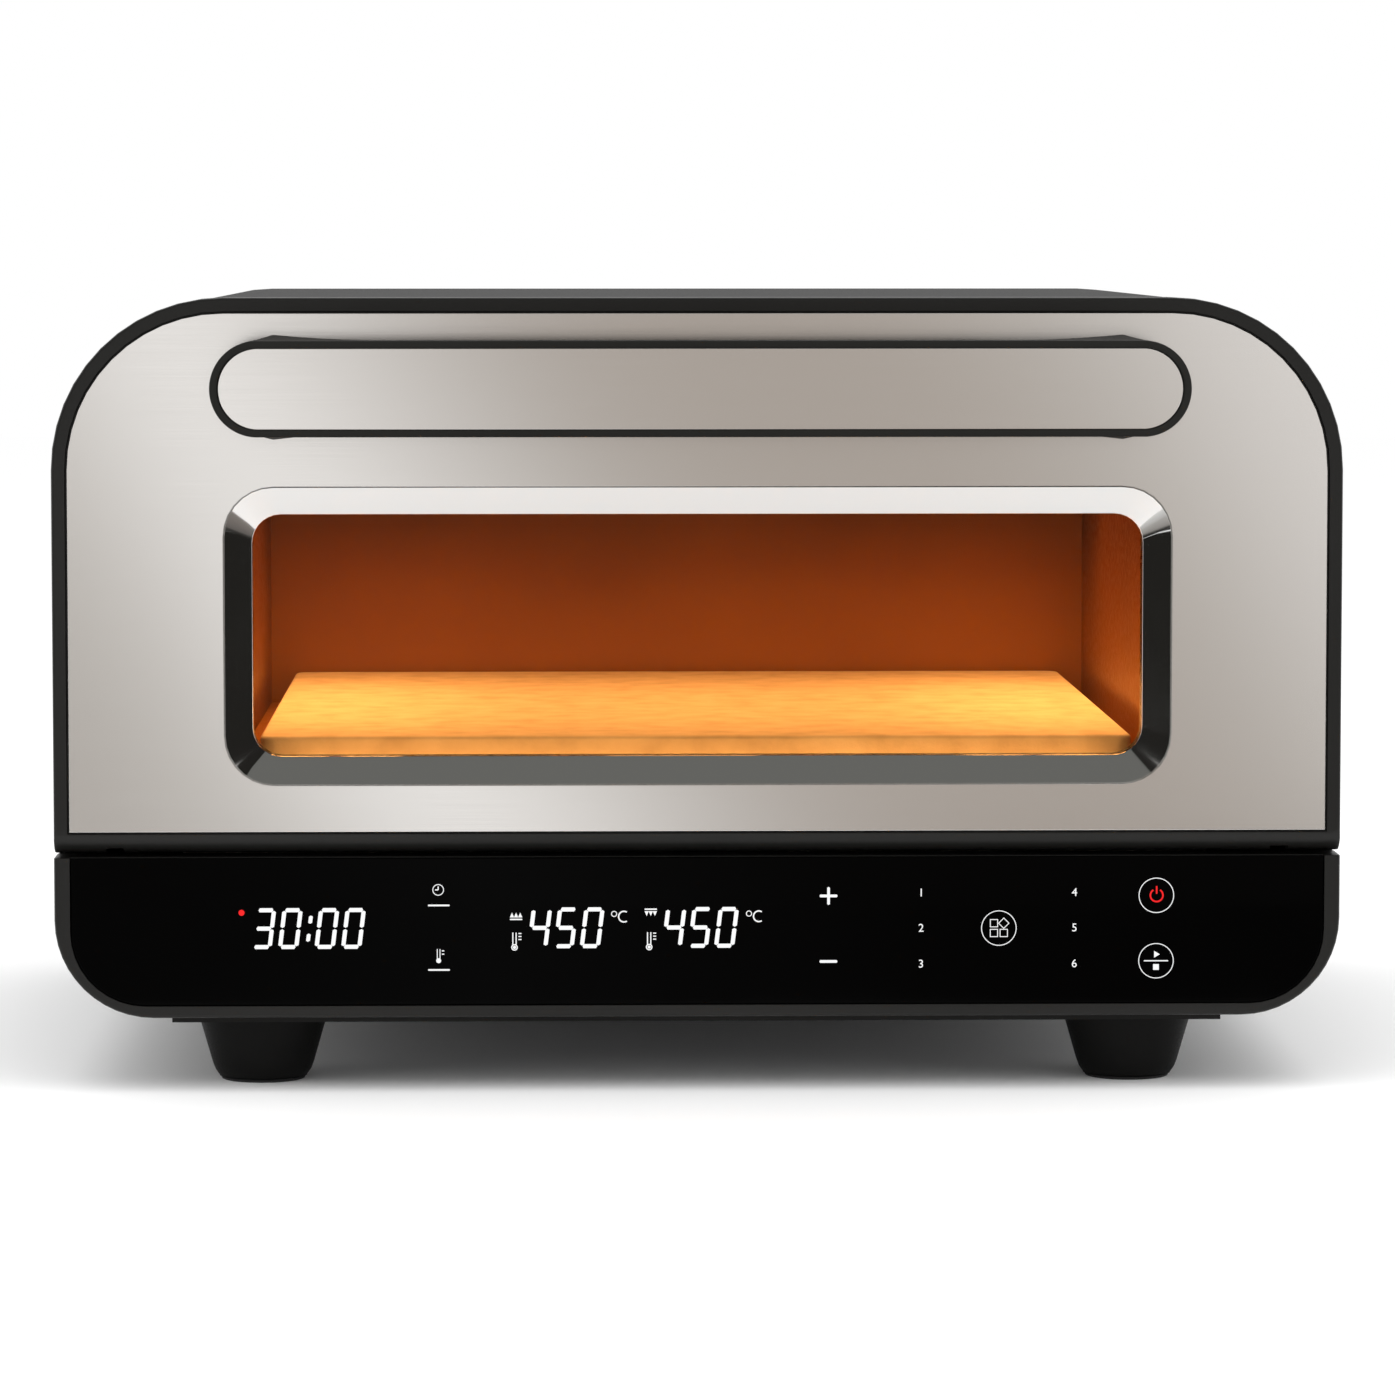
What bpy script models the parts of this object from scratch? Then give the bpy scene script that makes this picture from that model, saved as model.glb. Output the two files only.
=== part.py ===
"""Countertop pizza oven as an assembly of its separate pieces, in metres, +Z up, front facing -Y.

The origin lies on the table, midway across the width and the whole depth with the handle.
Depths are counted backwards from the face of the door's rim, and heights upwards from the table.
"""

import math

import bmesh
import bpy
from mathutils import Matrix, Vector

# Whole oven
BODY_WIDTH = 0.470          # across the black rim
BODY_DEPTH = 0.403          # rim face to the back edge of the shell
BODY_HEIGHT = 0.2626        # underside of the shell to its top
FOOT_HEIGHT = 0.028         # table to the underside of the shell
TOP_RADIUS = 0.055          # upper corners, seen from the front
BOTTOM_RADIUS = 0.036       # lower corners, seen from the front

# Fits and facets
GAP = 0.0003                # between pieces that seat on each other
CHORD_ERROR = 0.00012       # how far a facet may cut inside a round edge

# Casing
CASE_SHEET = 0.0008         # shell and back panel
CASE_INSET = 0.0005         # shell inside the outline of the rim
CASE_LIP = 0.013            # shell folded flat under the base
BASE_SHEET = 0.001
BASE_LAP = 0.0075           # base plate under the shell's lip
BASE_HEM = 0.0020           # turned-down edge below the base plate's sheet
PANEL_RECESS = 0.002        # back panel inside the shell's back edge
PANEL_FLANGE = 0.008        # turned edge of the back panel
LOUVRE_LENGTH = 0.030
LOUVRE_WIDTH = 0.003
LOUVRE_PITCH_X = 0.040
LOUVRE_PITCH_Z = 0.012
LOUVRE_COLUMNS = 5
LOUVRE_ROWS = 3
LOUVRE_RISE = 0.150         # lowest row above the underside of the shell
VENT_LENGTH = 0.050         # slots in the base plate
VENT_WIDTH = 0.004
VENT_PITCH = 0.012
VENT_COUNT = 9
VENT_X = -0.060             # middle of the row of slots
VENT_DEPTH = 0.200

# Feet
FOOT_SIDE_MARGIN = 0.0078   # foot inside the base plate's hem, at the sides
FOOT_END_MARGIN = 0.001     # foot inside the base plate's hem, front and back
FOOT_TOP_RADIUS = 0.0235
FOOT_LOW_RADIUS = 0.0185
FOOT_SHOULDER = 0.005       # straight upper edge before the taper
FOOT_LIFT = 0.0015          # foot's lower edge above the table
PAD_RADIUS = 0.0155
PAD_THICKNESS = 0.004
PAD_EDGE = 0.0008
STUD_RADIUS = 0.004         # snap stud on the foot
STUD_LENGTH = 0.004         # stud above the base plate

# Control housing and glass
HOUSING_HEIGHT = 0.0588
HOUSING_SIDE = 0.0058       # rim beside the glass
HOUSING_SILL = 0.0044       # rim below the glass
HOUSING_WALL = 0.006        # wall round the boards
HOUSING_ROOF = 0.003        # wall over the boards
HOUSING_SPIGOT = 0.006      # tongue that fits inside the shell
HOUSING_EDGE = 0.0012       # rounding of the front edge
GLASS_THICKNESS = 0.003
GLASS_SET = 0.0002          # glass behind the rim's face
GLASS_RADIUS = 0.027
GLASS_LEDGE = 0.004         # wall that carries the glass and the boards
BOARD_SHEET = 0.0016
BOARD_SIDE = 0.030          # board's ends inside the rim's side
BOARD_FLOOR = 0.004         # board above the housing's wall
BOARD_HEADROOM = 0.003      # board below the housing's roof
BOARD_LAP = 0.005           # board behind the ledge
BOARD_BREAK = 0.030         # right of centre, where the display board ends
BOARD_SPACE = 0.003         # between the two boards
DISPLAY_RISE = 0.0327       # middle of the digits above the underside of the shell
DISPLAY_HEIGHT = 0.022
DISPLAY_THICKNESS = 0.0033
TIME_DISPLAY_X = -0.141
TIME_DISPLAY_WIDTH = 0.060
TEMPERATURE_DISPLAY_X = -0.022
TEMPERATURE_DISPLAY_WIDTH = 0.096

# Door
DOOR_SEAM = 0.0012          # between the door and the control housing
DOOR_CLEARANCE = 0.001      # between the door's rim and the shell's front edge
RIM_DEPTH = 0.018
RIM_FACE = 0.005            # rim beside and above the steel skin
RIM_LEDGE = 0.008           # ledge behind the skin
RIM_EDGE = 0.0012           # rounding of the rim's outer front edge
DOOR_BAR = 0.0075           # rim below the steel skin
SKIN_SHEET = 0.001
SKIN_SET = 0.0004           # skin behind the rim's face
SKIN_SEAM = 0.0007          # dark line between the rim and the skin
PLUG_DEPTH = 0.006          # inner panel behind the rim
PLUG_INSET = 0.007          # inner panel inside the rim's outline
PANEL_SHEET = 0.001
PANEL_SET = 0.0002          # inner panel's flange inside the rim's back
PANEL_SEAT = 0.003          # inner panel's lower edge on the rim

# Window
WINDOW_WIDTH = 0.345        # outer edge of the bevelled bezel
WINDOW_HEIGHT = 0.1084
WINDOW_RADIUS = 0.018
WINDOW_INNER_RADIUS = 0.0105
BEZEL_WIDTH = 0.010
BEZEL_DEPTH = 0.006
BEZEL_LIP = 0.001
BEZEL_SEAT = 0.0035         # width of the seat behind the inner edge
BEZEL_FLANGE = 0.006        # flange behind the skin
BEZEL_FLANGE_SHEET = 0.0012
BEZEL_ROOM = 0.0004
PANE = 0.004                # thickness of each glass
PANE_OUTER_INSET = 0.003    # outer pane inside the bezel's outer edge
PANE_INNER_LAP = 0.008      # inner pane beyond the opening of the inner panel
PANEL_WINDOW_INSET = 0.006  # opening of the inner panel inside the bezel's outer edge
SPACER_WIDTH = 0.0067

# Handle
HANDLE_LENGTH = 0.352
HANDLE_HEIGHT = 0.034
HANDLE_REACH = 0.040        # front of the handle before the rim's face
HANDLE_THICKNESS = 0.014
HANDLE_EDGE = 0.0015
HANDLE_DROP = 0.0271        # handle's middle below the skin's top edge
HANDLE_RING = 0.003         # black ring round the inlay
INLAY_SHEET = 0.0012
INLAY_SET = 0.0003          # inlay behind the ring's face
POST_SPACING = 0.290
POST_WIDTH = 0.030
POST_HEIGHT = 0.029
POST_RADIUS = 0.006
POST_FLARE_INNER = 0.016    # how far the post widens towards the middle, at the door
POST_FLARE_OUTER = 0.003
POST_FLARE_HEIGHT = 0.0045  # above and below
POST_STEPS = 5
SCREW_RADIUS = 0.002
SCREW_LENGTH = 0.014
SCREW_HEAD_RADIUS = 0.004
SCREW_HEAD = 0.0025

# Hinge
HINGE_INSET = 0.022         # ear's middle inside the rim's side
EAR_RADIUS = 0.005
EAR_THICKNESS = 0.005
EAR_SIDE_CLEARANCE = 0.0006
EAR_TURN_CLEARANCE = 0.0005
BRACKET_SHEET = 0.0017
BRACKET_WIDTH = 0.015
BRACKET_HEIGHT = 0.034
BRACKET_GUSSET = 0.004      # ear behind the bracket's plate
PIN_RADIUS = 0.0025
PIN_INNER_GRIP = 0.010      # pin in the rim, towards the middle
PIN_END_SET = 0.003         # pin's end inside the rim's side
PLUG_CLEARANCE = 0.002      # inner panel above the ear

# Mouth, gasket and chamber
FRAME_SHEET = 0.0012
GASKET_THICKNESS = 0.004
GASKET_WIDTH = 0.005
GASKET_OFFSET = 0.002       # gasket outside the mouth
GASKET_MARGIN = 0.002       # inner panel outside the gasket, below it
SIDE_BAY = 0.063            # rim's side to the chamber's side
TOP_BAY = 0.0516            # top of the oven to the mouth
REAR_BAY = 0.0369           # back of the chamber to the back of the oven
MOUTH_RADIUS = 0.008
LINER_SHEET = 0.0008
LINER_FLANGE = 0.008
SILL = 0.015                # chamber floor below the mouth
CEILING_LIP = 0.002         # chamber ceiling above the mouth
INSULATION = 0.018          # beside and over the chamber
INSULATION_BACK = 0.014
INSULATION_FLOOR = 0.014
INSULATION_SETBACK = 0.010
FEED_CLEARANCE = 0.003      # holes in the insulation round what passes through

# Stone and its rails
STONE_THICKNESS = 0.012
STONE_SIDE_GAP = 0.0105
STONE_END_GAP = 0.003
STONE_RISE = 0.0035         # stone's underside above the mouth's sill
STONE_RADIUS = 0.006
RAIL_SHEET = 0.0012
RAIL_LAP = 0.011            # rail under the stone
RAIL_HEIGHT = 0.013
RAIL_END_GAP = 0.012

# Heaters and sensors
HEATER_RADIUS = 0.0035
HEATER_BEND = 0.018
HEATER_SIDE = 0.032         # outer runs inside the chamber's sides
HEATER_INNER = 0.050        # inner runs from the middle
HEATER_LEG = 0.030          # terminal legs from the middle
HEATER_FRONT = 0.045        # front bends behind the chamber's front
HEATER_REAR = 0.045         # rear bends before the chamber's back
HEATER_MIDDLE = 0.105       # inner rear bends before the chamber's back
HEATER_DROP = 0.015         # upper heater below the ceiling
HEATER_RISE = 0.008         # lower heater above the floor
HEATER_TAIL = 0.010         # terminal behind the insulation
BEND_STEPS = 4
HANGER_SHEET = 0.0012
HANGER_WIDTH = 0.012
HANGER_OVERHANG = 0.010     # hanger beyond the heater's outer runs
HANGER_FOOT = 0.008
SENSOR_RADIUS = 0.002
SENSOR_REACH = 0.026        # probe inside the chamber
SENSOR_TAIL = 0.012         # probe behind its flange
SENSOR_FLANGE_RADIUS = 0.007
SENSOR_FLANGE = 0.003
SENSOR_X = 0.100
UPPER_SENSOR_DROP = 0.036   # below the ceiling
LOWER_SENSOR_RISE = 0.008   # above the floor
CUTOUT_RADIUS = 0.008
CUTOUT_HEIGHT = 0.009
CUTOUT_FLANGE_RADIUS = 0.011
CUTOUT_FLANGE = 0.0015
CUTOUT_X = -0.100
CUTOUT_DROP = 0.042

# Chamber lamp, in the right-hand wall
LAMP_BACK = 0.070           # before the chamber's back
LAMP_DROP = 0.026           # below the ceiling
LAMP_RADIUS = 0.015         # bore of the holder
LAMP_WALL = 0.002
LAMP_DEPTH = 0.032
LAMP_FLANGE = 0.006
LAMP_FLANGE_SHEET = 0.0015
LENS_WALL = 0.0015
LENS_DOME = 0.010           # lens inside the chamber
LENS_SOCKET = 0.014         # lens inside the holder
BULB_RADIUS = 0.007
BULB_LENGTH = 0.020
BULB_BASE_RADIUS = 0.005
BULB_BASE = 0.006

# Electrics in the base
POWER_BOARD_SIDE = 0.075    # board's right edge inside the rim's side
POWER_BOARD_WIDTH = 0.120
POWER_BOARD_BACK = 0.060    # board's back edge before the oven's back
POWER_BOARD_DEPTH = 0.090
BOSS_RADIUS = 0.003
BOSS_HEIGHT = 0.006
BOSS_INSET = 0.006
RELAY_SIZE = (0.016, 0.028, 0.016)
RELAY_SPACING = 0.026
RELAY_INSET = 0.016         # last relay's middle inside the board's right edge
TRANSFORMER_SIZE = (0.042, 0.036, 0.026)
TRANSFORMER_INSET = 0.032   # transformer's middle inside the board's left edge
TERMINAL_SIDE = 0.115       # block's middle inside the rim's side
TERMINAL_SIZE = (0.032, 0.014, 0.016)
TERMINAL_BACK = 0.034       # block's middle before the oven's back
TERMINAL_WAYS = 3
TERMINAL_WAY_WIDTH = 0.006
TERMINAL_WAY_DEPTH = 0.004
GLAND_SIDE = 0.070          # gland's middle inside the rim's side
GLAND_RISE = 0.024          # gland's middle above the base plate
GLAND_RADIUS = 0.008
GLAND_BORE = 0.004
GLAND_FLANGE_RADIUS = 0.011
GLAND_FLANGE = 0.0014
GLAND_TAIL = 0.010

# Cooling fan on the back panel
FAN_SIDE = 0.125            # fan's middle inside the rim's left side
FAN_SIZE = 0.040
FAN_RISE = 0.0045           # fan's frame above the base plate
FAN_DEPTH = 0.012
FAN_CORNER = 0.004
FAN_WALL = 0.0015           # frame beside the bore
FAN_TIP_CLEARANCE = 0.001
FAN_STRUT = 0.0025
FAN_HUB_RADIUS = 0.0095
FAN_HUB_LENGTH = 0.0075
FAN_HUB_SET = 0.001         # hub behind the frame's front
FAN_SHAFT_RADIUS = 0.0015
FAN_SHAFT_LENGTH = 0.005
FAN_BLADES = 7
FAN_BLADE_SHEET = 0.0012
FAN_BLADE_CHORD = 0.0075
FAN_BLADE_PITCH = 35
FAN_BLADE_ROOT = 0.002      # blade inside the hub's surface
FAN_GRILLE_SLOT = 0.0035
FAN_GRILLE_BAR = 0.0025
FAN_GRILLE_ROWS = 6

# Finishes: colour, roughness and metallic value
BLACK_PLASTIC = ((0.021, 0.020, 0.018), 0.42, 0.0)
BLACK_STEEL = ((0.030, 0.029, 0.027), 0.45, 0.3)
BRUSHED_STEEL = ((0.62, 0.60, 0.58), 0.30, 1.0)
POLISHED_STEEL = ((0.75, 0.75, 0.74), 0.06, 1.0)
BARE_STEEL = ((0.45, 0.44, 0.43), 0.40, 1.0)
BLACK_GLASS = ((0.004, 0.004, 0.004), 0.04, 0.0)
CLEAR_GLASS = ((0.85, 0.80, 0.72), 0.03, 0.0)
RUBBER = ((0.015, 0.015, 0.015), 0.80, 0.0)
FIBRE = ((0.72, 0.70, 0.65), 0.95, 0.0)
STONE = ((0.66, 0.52, 0.36), 0.90, 0.0)
CIRCUIT_BOARD = ((0.03, 0.14, 0.07), 0.50, 0.0)
DISPLAY = ((0.020, 0.020, 0.022), 0.35, 0.0)
COMPONENT = ((0.05, 0.09, 0.20), 0.45, 0.0)
CERAMIC = ((0.80, 0.78, 0.72), 0.60, 0.0)

# Levels and planes that several pieces share
HALF_WIDTH = BODY_WIDTH / 2
FRONT_Y = HANDLE_REACH - (BODY_DEPTH + HANDLE_REACH) / 2
CASE_BOTTOM = FOOT_HEIGHT
CASE_TOP = FOOT_HEIGHT + BODY_HEIGHT
CASE_CLEAR = CASE_INSET + CASE_SHEET + GAP
BASE_TOP = CASE_BOTTOM + CASE_INSET - GAP
LIP_END = HALF_WIDTH - BOTTOM_RADIUS - CASE_LIP
BASE_HALF = LIP_END + BASE_LAP
HOUSING_TOP = CASE_BOTTOM + HOUSING_HEIGHT
DOOR_BOTTOM = HOUSING_TOP + DOOR_SEAM
SKIN_BOTTOM = DOOR_BOTTOM + DOOR_BAR
HINGE_DEPTH = RIM_DEPTH / 2
HINGE_HEIGHT = DOOR_BOTTOM + RIM_DEPTH / 2
EAR_X = HALF_WIDTH - HINGE_INSET
PLUG_BOTTOM = HINGE_HEIGHT + EAR_RADIUS + PLUG_CLEARANCE
RIM_OPENING_BOTTOM = PLUG_BOTTOM + PANEL_SEAT
WINDOW_BOTTOM = RIM_OPENING_BOTTOM + BEZEL_ROOM + BEZEL_FLANGE
MOUTH_BOTTOM = PLUG_BOTTOM + GASKET_MARGIN + GASKET_WIDTH + GASKET_OFFSET
MOUTH_TOP = CASE_TOP - TOP_BAY
CHAMBER_HALF = HALF_WIDTH - SIDE_BAY
CHAMBER_FLOOR = MOUTH_BOTTOM - SILL
CHAMBER_CEILING = MOUTH_TOP + CEILING_LIP
SHELL_FRONT = RIM_DEPTH + DOOR_CLEARANCE
PLUG_BACK = RIM_DEPTH + PLUG_DEPTH
FRAME_FLOOR_FRONT = PLUG_BACK + GAP + GASKET_THICKNESS + GAP
FRAME_BACK = FRAME_FLOOR_FRONT + FRAME_SHEET
LINER_FRONT = FRAME_BACK + GAP
CHAMBER_BACK = BODY_DEPTH - REAR_BAY
LINER_BACK = CHAMBER_BACK + LINER_SHEET
INSULATION_REAR = LINER_BACK + GAP + INSULATION_BACK
PANEL_BACK = BODY_DEPTH - PANEL_RECESS
PANEL_FRONT = PANEL_BACK - CASE_SHEET
STONE_BOTTOM = MOUTH_BOTTOM + STONE_RISE
STONE_HALF = CHAMBER_HALF - STONE_SIDE_GAP
HANDLE_MIDDLE = CASE_TOP - RIM_FACE - HANDLE_DROP
HANDLE_BACK = HANDLE_THICKNESS - HANDLE_REACH
SKIN_BACK = SKIN_SET + SKIN_SHEET
PANE_FRONT = SKIN_SET + BEZEL_DEPTH + BEZEL_LIP + GAP
INNER_PANE_FRONT = PLUG_BACK - PANEL_SHEET - GAP - PANE
PANEL_FLANGE_FRONT = RIM_DEPTH - PANEL_SET - PANEL_SHEET
POST_X = POST_SPACING / 2
GLASS_BACK = GLASS_SET + GLASS_THICKNESS
LEDGE_BACK = GLASS_BACK + GAP + GLASS_LEDGE
BOARD_TOP = BASE_TOP + BOSS_HEIGHT + GAP + BOARD_SHEET
BASE_UNDERSIDE = BASE_TOP - BASE_SHEET
BASE_FRONT = SHELL_FRONT + GAP
FOOT_TOP = BASE_UNDERSIDE - GAP
FOOT_X = BASE_HALF - BASE_SHEET - FOOT_SIDE_MARGIN - FOOT_TOP_RADIUS
FOOT_FRONT = BASE_FRONT + BASE_SHEET + FOOT_END_MARGIN + FOOT_TOP_RADIUS
FOOT_REAR = PANEL_BACK - BASE_SHEET - FOOT_END_MARGIN - FOOT_TOP_RADIUS
BOARD_HALF = HALF_WIDTH - BOARD_SIDE
BOARD_LOW = CASE_BOTTOM + HOUSING_WALL + BOARD_FLOOR
BOARD_HIGH = HOUSING_TOP - HOUSING_ROOF - BOARD_HEADROOM
UPPER_HEATER_HEIGHT = CHAMBER_CEILING - HEATER_DROP
LOWER_HEATER_HEIGHT = CHAMBER_FLOOR + HEATER_RISE
HEATER_SPAN = CHAMBER_HALF - HEATER_SIDE
UPPER_SENSOR_HEIGHT = CHAMBER_CEILING - UPPER_SENSOR_DROP
LOWER_SENSOR_HEIGHT = CHAMBER_FLOOR + LOWER_SENSOR_RISE
CUTOUT_LEVEL = CHAMBER_CEILING - CUTOUT_DROP
LAMP_HEIGHT = CHAMBER_CEILING - LAMP_DROP
LAMP_PLACE_DEPTH = CHAMBER_BACK - LAMP_BACK
LAMP_SEAT = CHAMBER_HALF + LINER_SHEET + GAP
FAN_X = FAN_SIDE - HALF_WIDTH
FAN_HEIGHT = BASE_TOP + FAN_RISE + FAN_SIZE / 2
FAN_BACK = PANEL_FRONT - GAP
FAN_BORE = FAN_SIZE / 2 - FAN_WALL
GLAND_X = HALF_WIDTH - GLAND_SIDE
GLAND_HEIGHT = BASE_TOP + GLAND_RISE
TERMINAL_X = HALF_WIDTH - TERMINAL_SIDE

TURNS = {"X": (0, math.pi / 2, 0), "Y": (-math.pi / 2, 0, 0), "Z": (0, 0, 0)}
PLANE_TURNS = {"XZ": (math.pi / 2, 0, 0), "YZ": (math.pi / 2, 0, math.pi / 2), "XY": (0, 0, 0)}
SQUARE_AXIS = {"XZ": "Y", "YZ": "X", "XY": "Z"}
SHARP_ANGLE = math.radians(30)
CORNER_STEPS = math.ceil(math.pi / 2 * math.sqrt(TOP_RADIUS / (8 * CHORD_ERROR)))
OVERRUN = 0.005             # how far a cutter passes the wall it cuts


def clear_scene():
    for old in list(bpy.data.objects):
        bpy.data.objects.remove(old, do_unlink=True)


def new_collection(name):
    collection = bpy.data.collections.new(name)
    bpy.context.scene.collection.children.link(collection)
    return collection


clear_scene()
PARTS = new_collection("pizza_oven")
CUTTERS = new_collection("cutters")


def at_depth(distance):
    """World Y of a plane at a distance behind the rim's face."""
    return FRONT_Y + distance


def finish(piece, look):
    """Give a piece its own material and smooth round faces."""
    colour, roughness, metallic = look
    material = bpy.data.materials.new(piece.name)
    material.use_nodes = True
    shader = material.node_tree.nodes["Principled BSDF"]
    shader.inputs["Base Color"].default_value = (*colour, 1.0)
    shader.inputs["Roughness"].default_value = roughness
    shader.inputs["Metallic"].default_value = metallic
    piece.data.materials.append(material)
    piece.data.shade_smooth()
    piece.data.set_sharp_from_angle(angle=SHARP_ANGLE)
    return piece


def add_mesh(name, builder):
    """New object in the parts collection from a bmesh."""
    mesh = bpy.data.meshes.new(name)
    builder.to_mesh(mesh)
    builder.free()
    piece = bpy.data.objects.new(name, mesh)
    PARTS.objects.link(piece)
    return piece


def as_mesh(source, name):
    """Turn a curve object into a closed mesh object at the same place."""
    PARTS.objects.link(source)
    bpy.context.view_layer.update()
    evaluated = source.evaluated_get(bpy.context.evaluated_depsgraph_get())
    mesh = bpy.data.meshes.new_from_object(evaluated)
    builder = bmesh.new()
    builder.from_mesh(mesh)
    bmesh.ops.remove_doubles(builder, verts=builder.verts, dist=0.000001)
    bmesh.ops.recalc_face_normals(builder, faces=builder.faces)
    place = source.matrix_world.copy()
    curve = source.data
    bpy.data.objects.remove(source)
    bpy.data.curves.remove(curve)
    bpy.data.meshes.remove(mesh)
    piece = add_mesh(name, builder)
    piece.matrix_world = place
    return piece


def slab(name, loops, plane, start, end):
    """Plate with an outline and holes, between two positions on the axis square to its plane."""
    curve = bpy.data.curves.new(name, "CURVE")
    curve.dimensions = "2D"
    curve.fill_mode = "BOTH"
    curve.extrude = (end - start) / 2
    for loop in loops:
        spline = curve.splines.new("POLY")
        spline.points.add(len(loop) - 1)
        for point, (across, up) in zip(spline.points, loop):
            point.co = (across, up, 0, 1)
        spline.use_cyclic_u = True
    source = bpy.data.objects.new(name, curve)
    source.rotation_euler = PLANE_TURNS[plane]
    source.location["XYZ".index(SQUARE_AXIS[plane])] = (start + end) / 2
    return as_mesh(source, name)


def box(name, low, high):
    """Rectangular block between two corners."""
    builder = bmesh.new()
    bmesh.ops.create_cube(builder, size=1)
    size = Vector(high) - Vector(low)
    bmesh.ops.scale(builder, vec=size, verts=builder.verts)
    piece = add_mesh(name, builder)
    piece.location = (Vector(low) + Vector(high)) / 2
    return piece


def rod(name, radius, axis, place, start, end, sides=24):
    """Round bar along an axis; place holds the two other coordinates in X, Y, Z order."""
    builder = bmesh.new()
    bmesh.ops.create_cone(
        builder, cap_ends=True, segments=sides, radius1=radius, radius2=radius, depth=end - start
    )
    piece = add_mesh(name, builder)
    piece.rotation_euler = TURNS[axis]
    location = list(place)
    location.insert("XYZ".index(axis), (start + end) / 2)
    piece.location = location
    return piece


def turned(name, profile, axis, place, closed=False, steps=24):
    """Turned piece: (radius, height) points down the outer side, heights counted along the axis."""
    builder = bmesh.new()
    points = [builder.verts.new((radius, 0, height)) for radius, height in profile]
    ends = points[1:] + points[:1] if closed else points[1:]
    for first, second in zip(points, ends):
        builder.edges.new((first, second))
    piece = add_mesh(name, builder)
    screw = piece.modifiers.new("turn", "SCREW")
    screw.steps = steps
    screw.render_steps = steps
    screw.use_merge_vertices = True
    screw.merge_threshold = 0.000001
    screw.use_smooth_shade = True
    weld = piece.modifiers.new("weld", "WELD")
    weld.merge_threshold = 0.000001
    piece.rotation_euler = TURNS[axis]
    piece.location = place
    return piece


def tube(name, points, radius):
    """Round tube along a list of points, with closed ends."""
    curve = bpy.data.curves.new(name, "CURVE")
    curve.dimensions = "3D"
    curve.bevel_depth = radius
    curve.bevel_resolution = 2
    curve.use_fill_caps = True
    spline = curve.splines.new("POLY")
    spline.points.add(len(points) - 1)
    for point, place in zip(spline.points, points):
        point.co = (*place, 1)
    return as_mesh(bpy.data.objects.new(name, curve), name)


def loft(name, loops, closed):
    """Skin over loops of equal length: a ring when closed, and capped at both ends when not."""
    builder = bmesh.new()
    rings = [[builder.verts.new(point) for point in loop] for loop in loops]
    pairs = list(zip(rings, rings[1:]))
    if closed:
        pairs.append((rings[-1], rings[0]))
    for near, far in pairs:
        for index in range(len(near)):
            after = (index + 1) % len(near)
            builder.faces.new((near[index], near[after], far[after], far[index]))
    if not closed:
        builder.faces.new(rings[0])
        builder.faces.new(rings[-1])
    bmesh.ops.recalc_face_normals(builder, faces=builder.faces)
    return add_mesh(name, builder)


def boolean(piece, tool, operation):
    """Cut with another solid, or join it on, and keep that solid among the hidden cutters."""
    modifier = piece.modifiers.new(operation.lower(), "BOOLEAN")
    modifier.operation = operation
    modifier.solver = "EXACT"
    modifier.object = tool
    PARTS.objects.unlink(tool)
    CUTTERS.objects.link(tool)
    tool.hide_render = True
    tool.display_type = "WIRE"


def cut(piece, *tools):
    for tool in tools:
        boolean(piece, tool, "DIFFERENCE")


def join(piece, *tools):
    for tool in tools:
        boolean(piece, tool, "UNION")


def round_edges(piece, width, segments):
    """Round the sharp edges that a piece has so far."""
    bevel = piece.modifiers.new("edges", "BEVEL")
    bevel.width = width
    bevel.segments = segments
    bevel.limit_method = "ANGLE"
    bevel.angle_limit = SHARP_ANGLE * 2


def arc_steps(radius, degrees=90):
    """Facets that keep an arc within the chord error."""
    return max(2, math.ceil(math.radians(degrees) * math.sqrt(radius / (8 * CHORD_ERROR))))


def arc(centre, radius, start, end, steps):
    """Points along an arc in degrees, both ends included."""
    points = []
    for step in range(steps + 1):
        angle = math.radians(start + (end - start) * step / steps)
        points.append((centre[0] + radius * math.cos(angle), centre[1] + radius * math.sin(angle)))
    return points


def circle(centre, radius):
    steps = arc_steps(radius, 360)
    return arc(centre, radius, 0, 360, steps)[:-1]


def rounded_box(left, right, bottom, top, bottom_radius, top_radius, steps=None):
    """Closed outline, anticlockwise, with one radius for the lower corners and one for the upper."""
    corners = (
        (left + bottom_radius, bottom + bottom_radius, bottom_radius, 180),
        (right - bottom_radius, bottom + bottom_radius, bottom_radius, 270),
        (right - top_radius, top - top_radius, top_radius, 0),
        (left + top_radius, top - top_radius, top_radius, 90),
    )
    loop = []
    for across, up, radius, start in corners:
        if radius > 0:
            loop += arc((across, up), radius, start, start + 90, steps or arc_steps(radius))
        else:
            loop.append((across, up))
    return loop


def stadium(centre, length, height):
    """Outline of a bar or slot with half-round ends."""
    reach = (length - height) / 2
    steps = arc_steps(height / 2, 180)
    right = arc((centre[0] + reach, centre[1]), height / 2, -90, 90, steps)
    left = arc((centre[0] - reach, centre[1]), height / 2, 90, 270, steps)
    return right + left


def body_outline(inset):
    """Whole outline of the oven's body, seen from the front, drawn in by an inset."""
    left = inset - HALF_WIDTH
    right = HALF_WIDTH - inset
    lower = BOTTOM_RADIUS - inset
    upper = TOP_RADIUS - inset
    return rounded_box(left, right, CASE_BOTTOM + inset, CASE_TOP - inset, lower, upper, CORNER_STEPS)


def door_outline(inset, bottom):
    """Outline of the door, square at the bottom, drawn in by an inset at its sides and top."""
    left = inset - HALF_WIDTH
    right = HALF_WIDTH - inset
    return rounded_box(left, right, bottom, CASE_TOP - inset, 0, TOP_RADIUS - inset, CORNER_STEPS)


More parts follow.
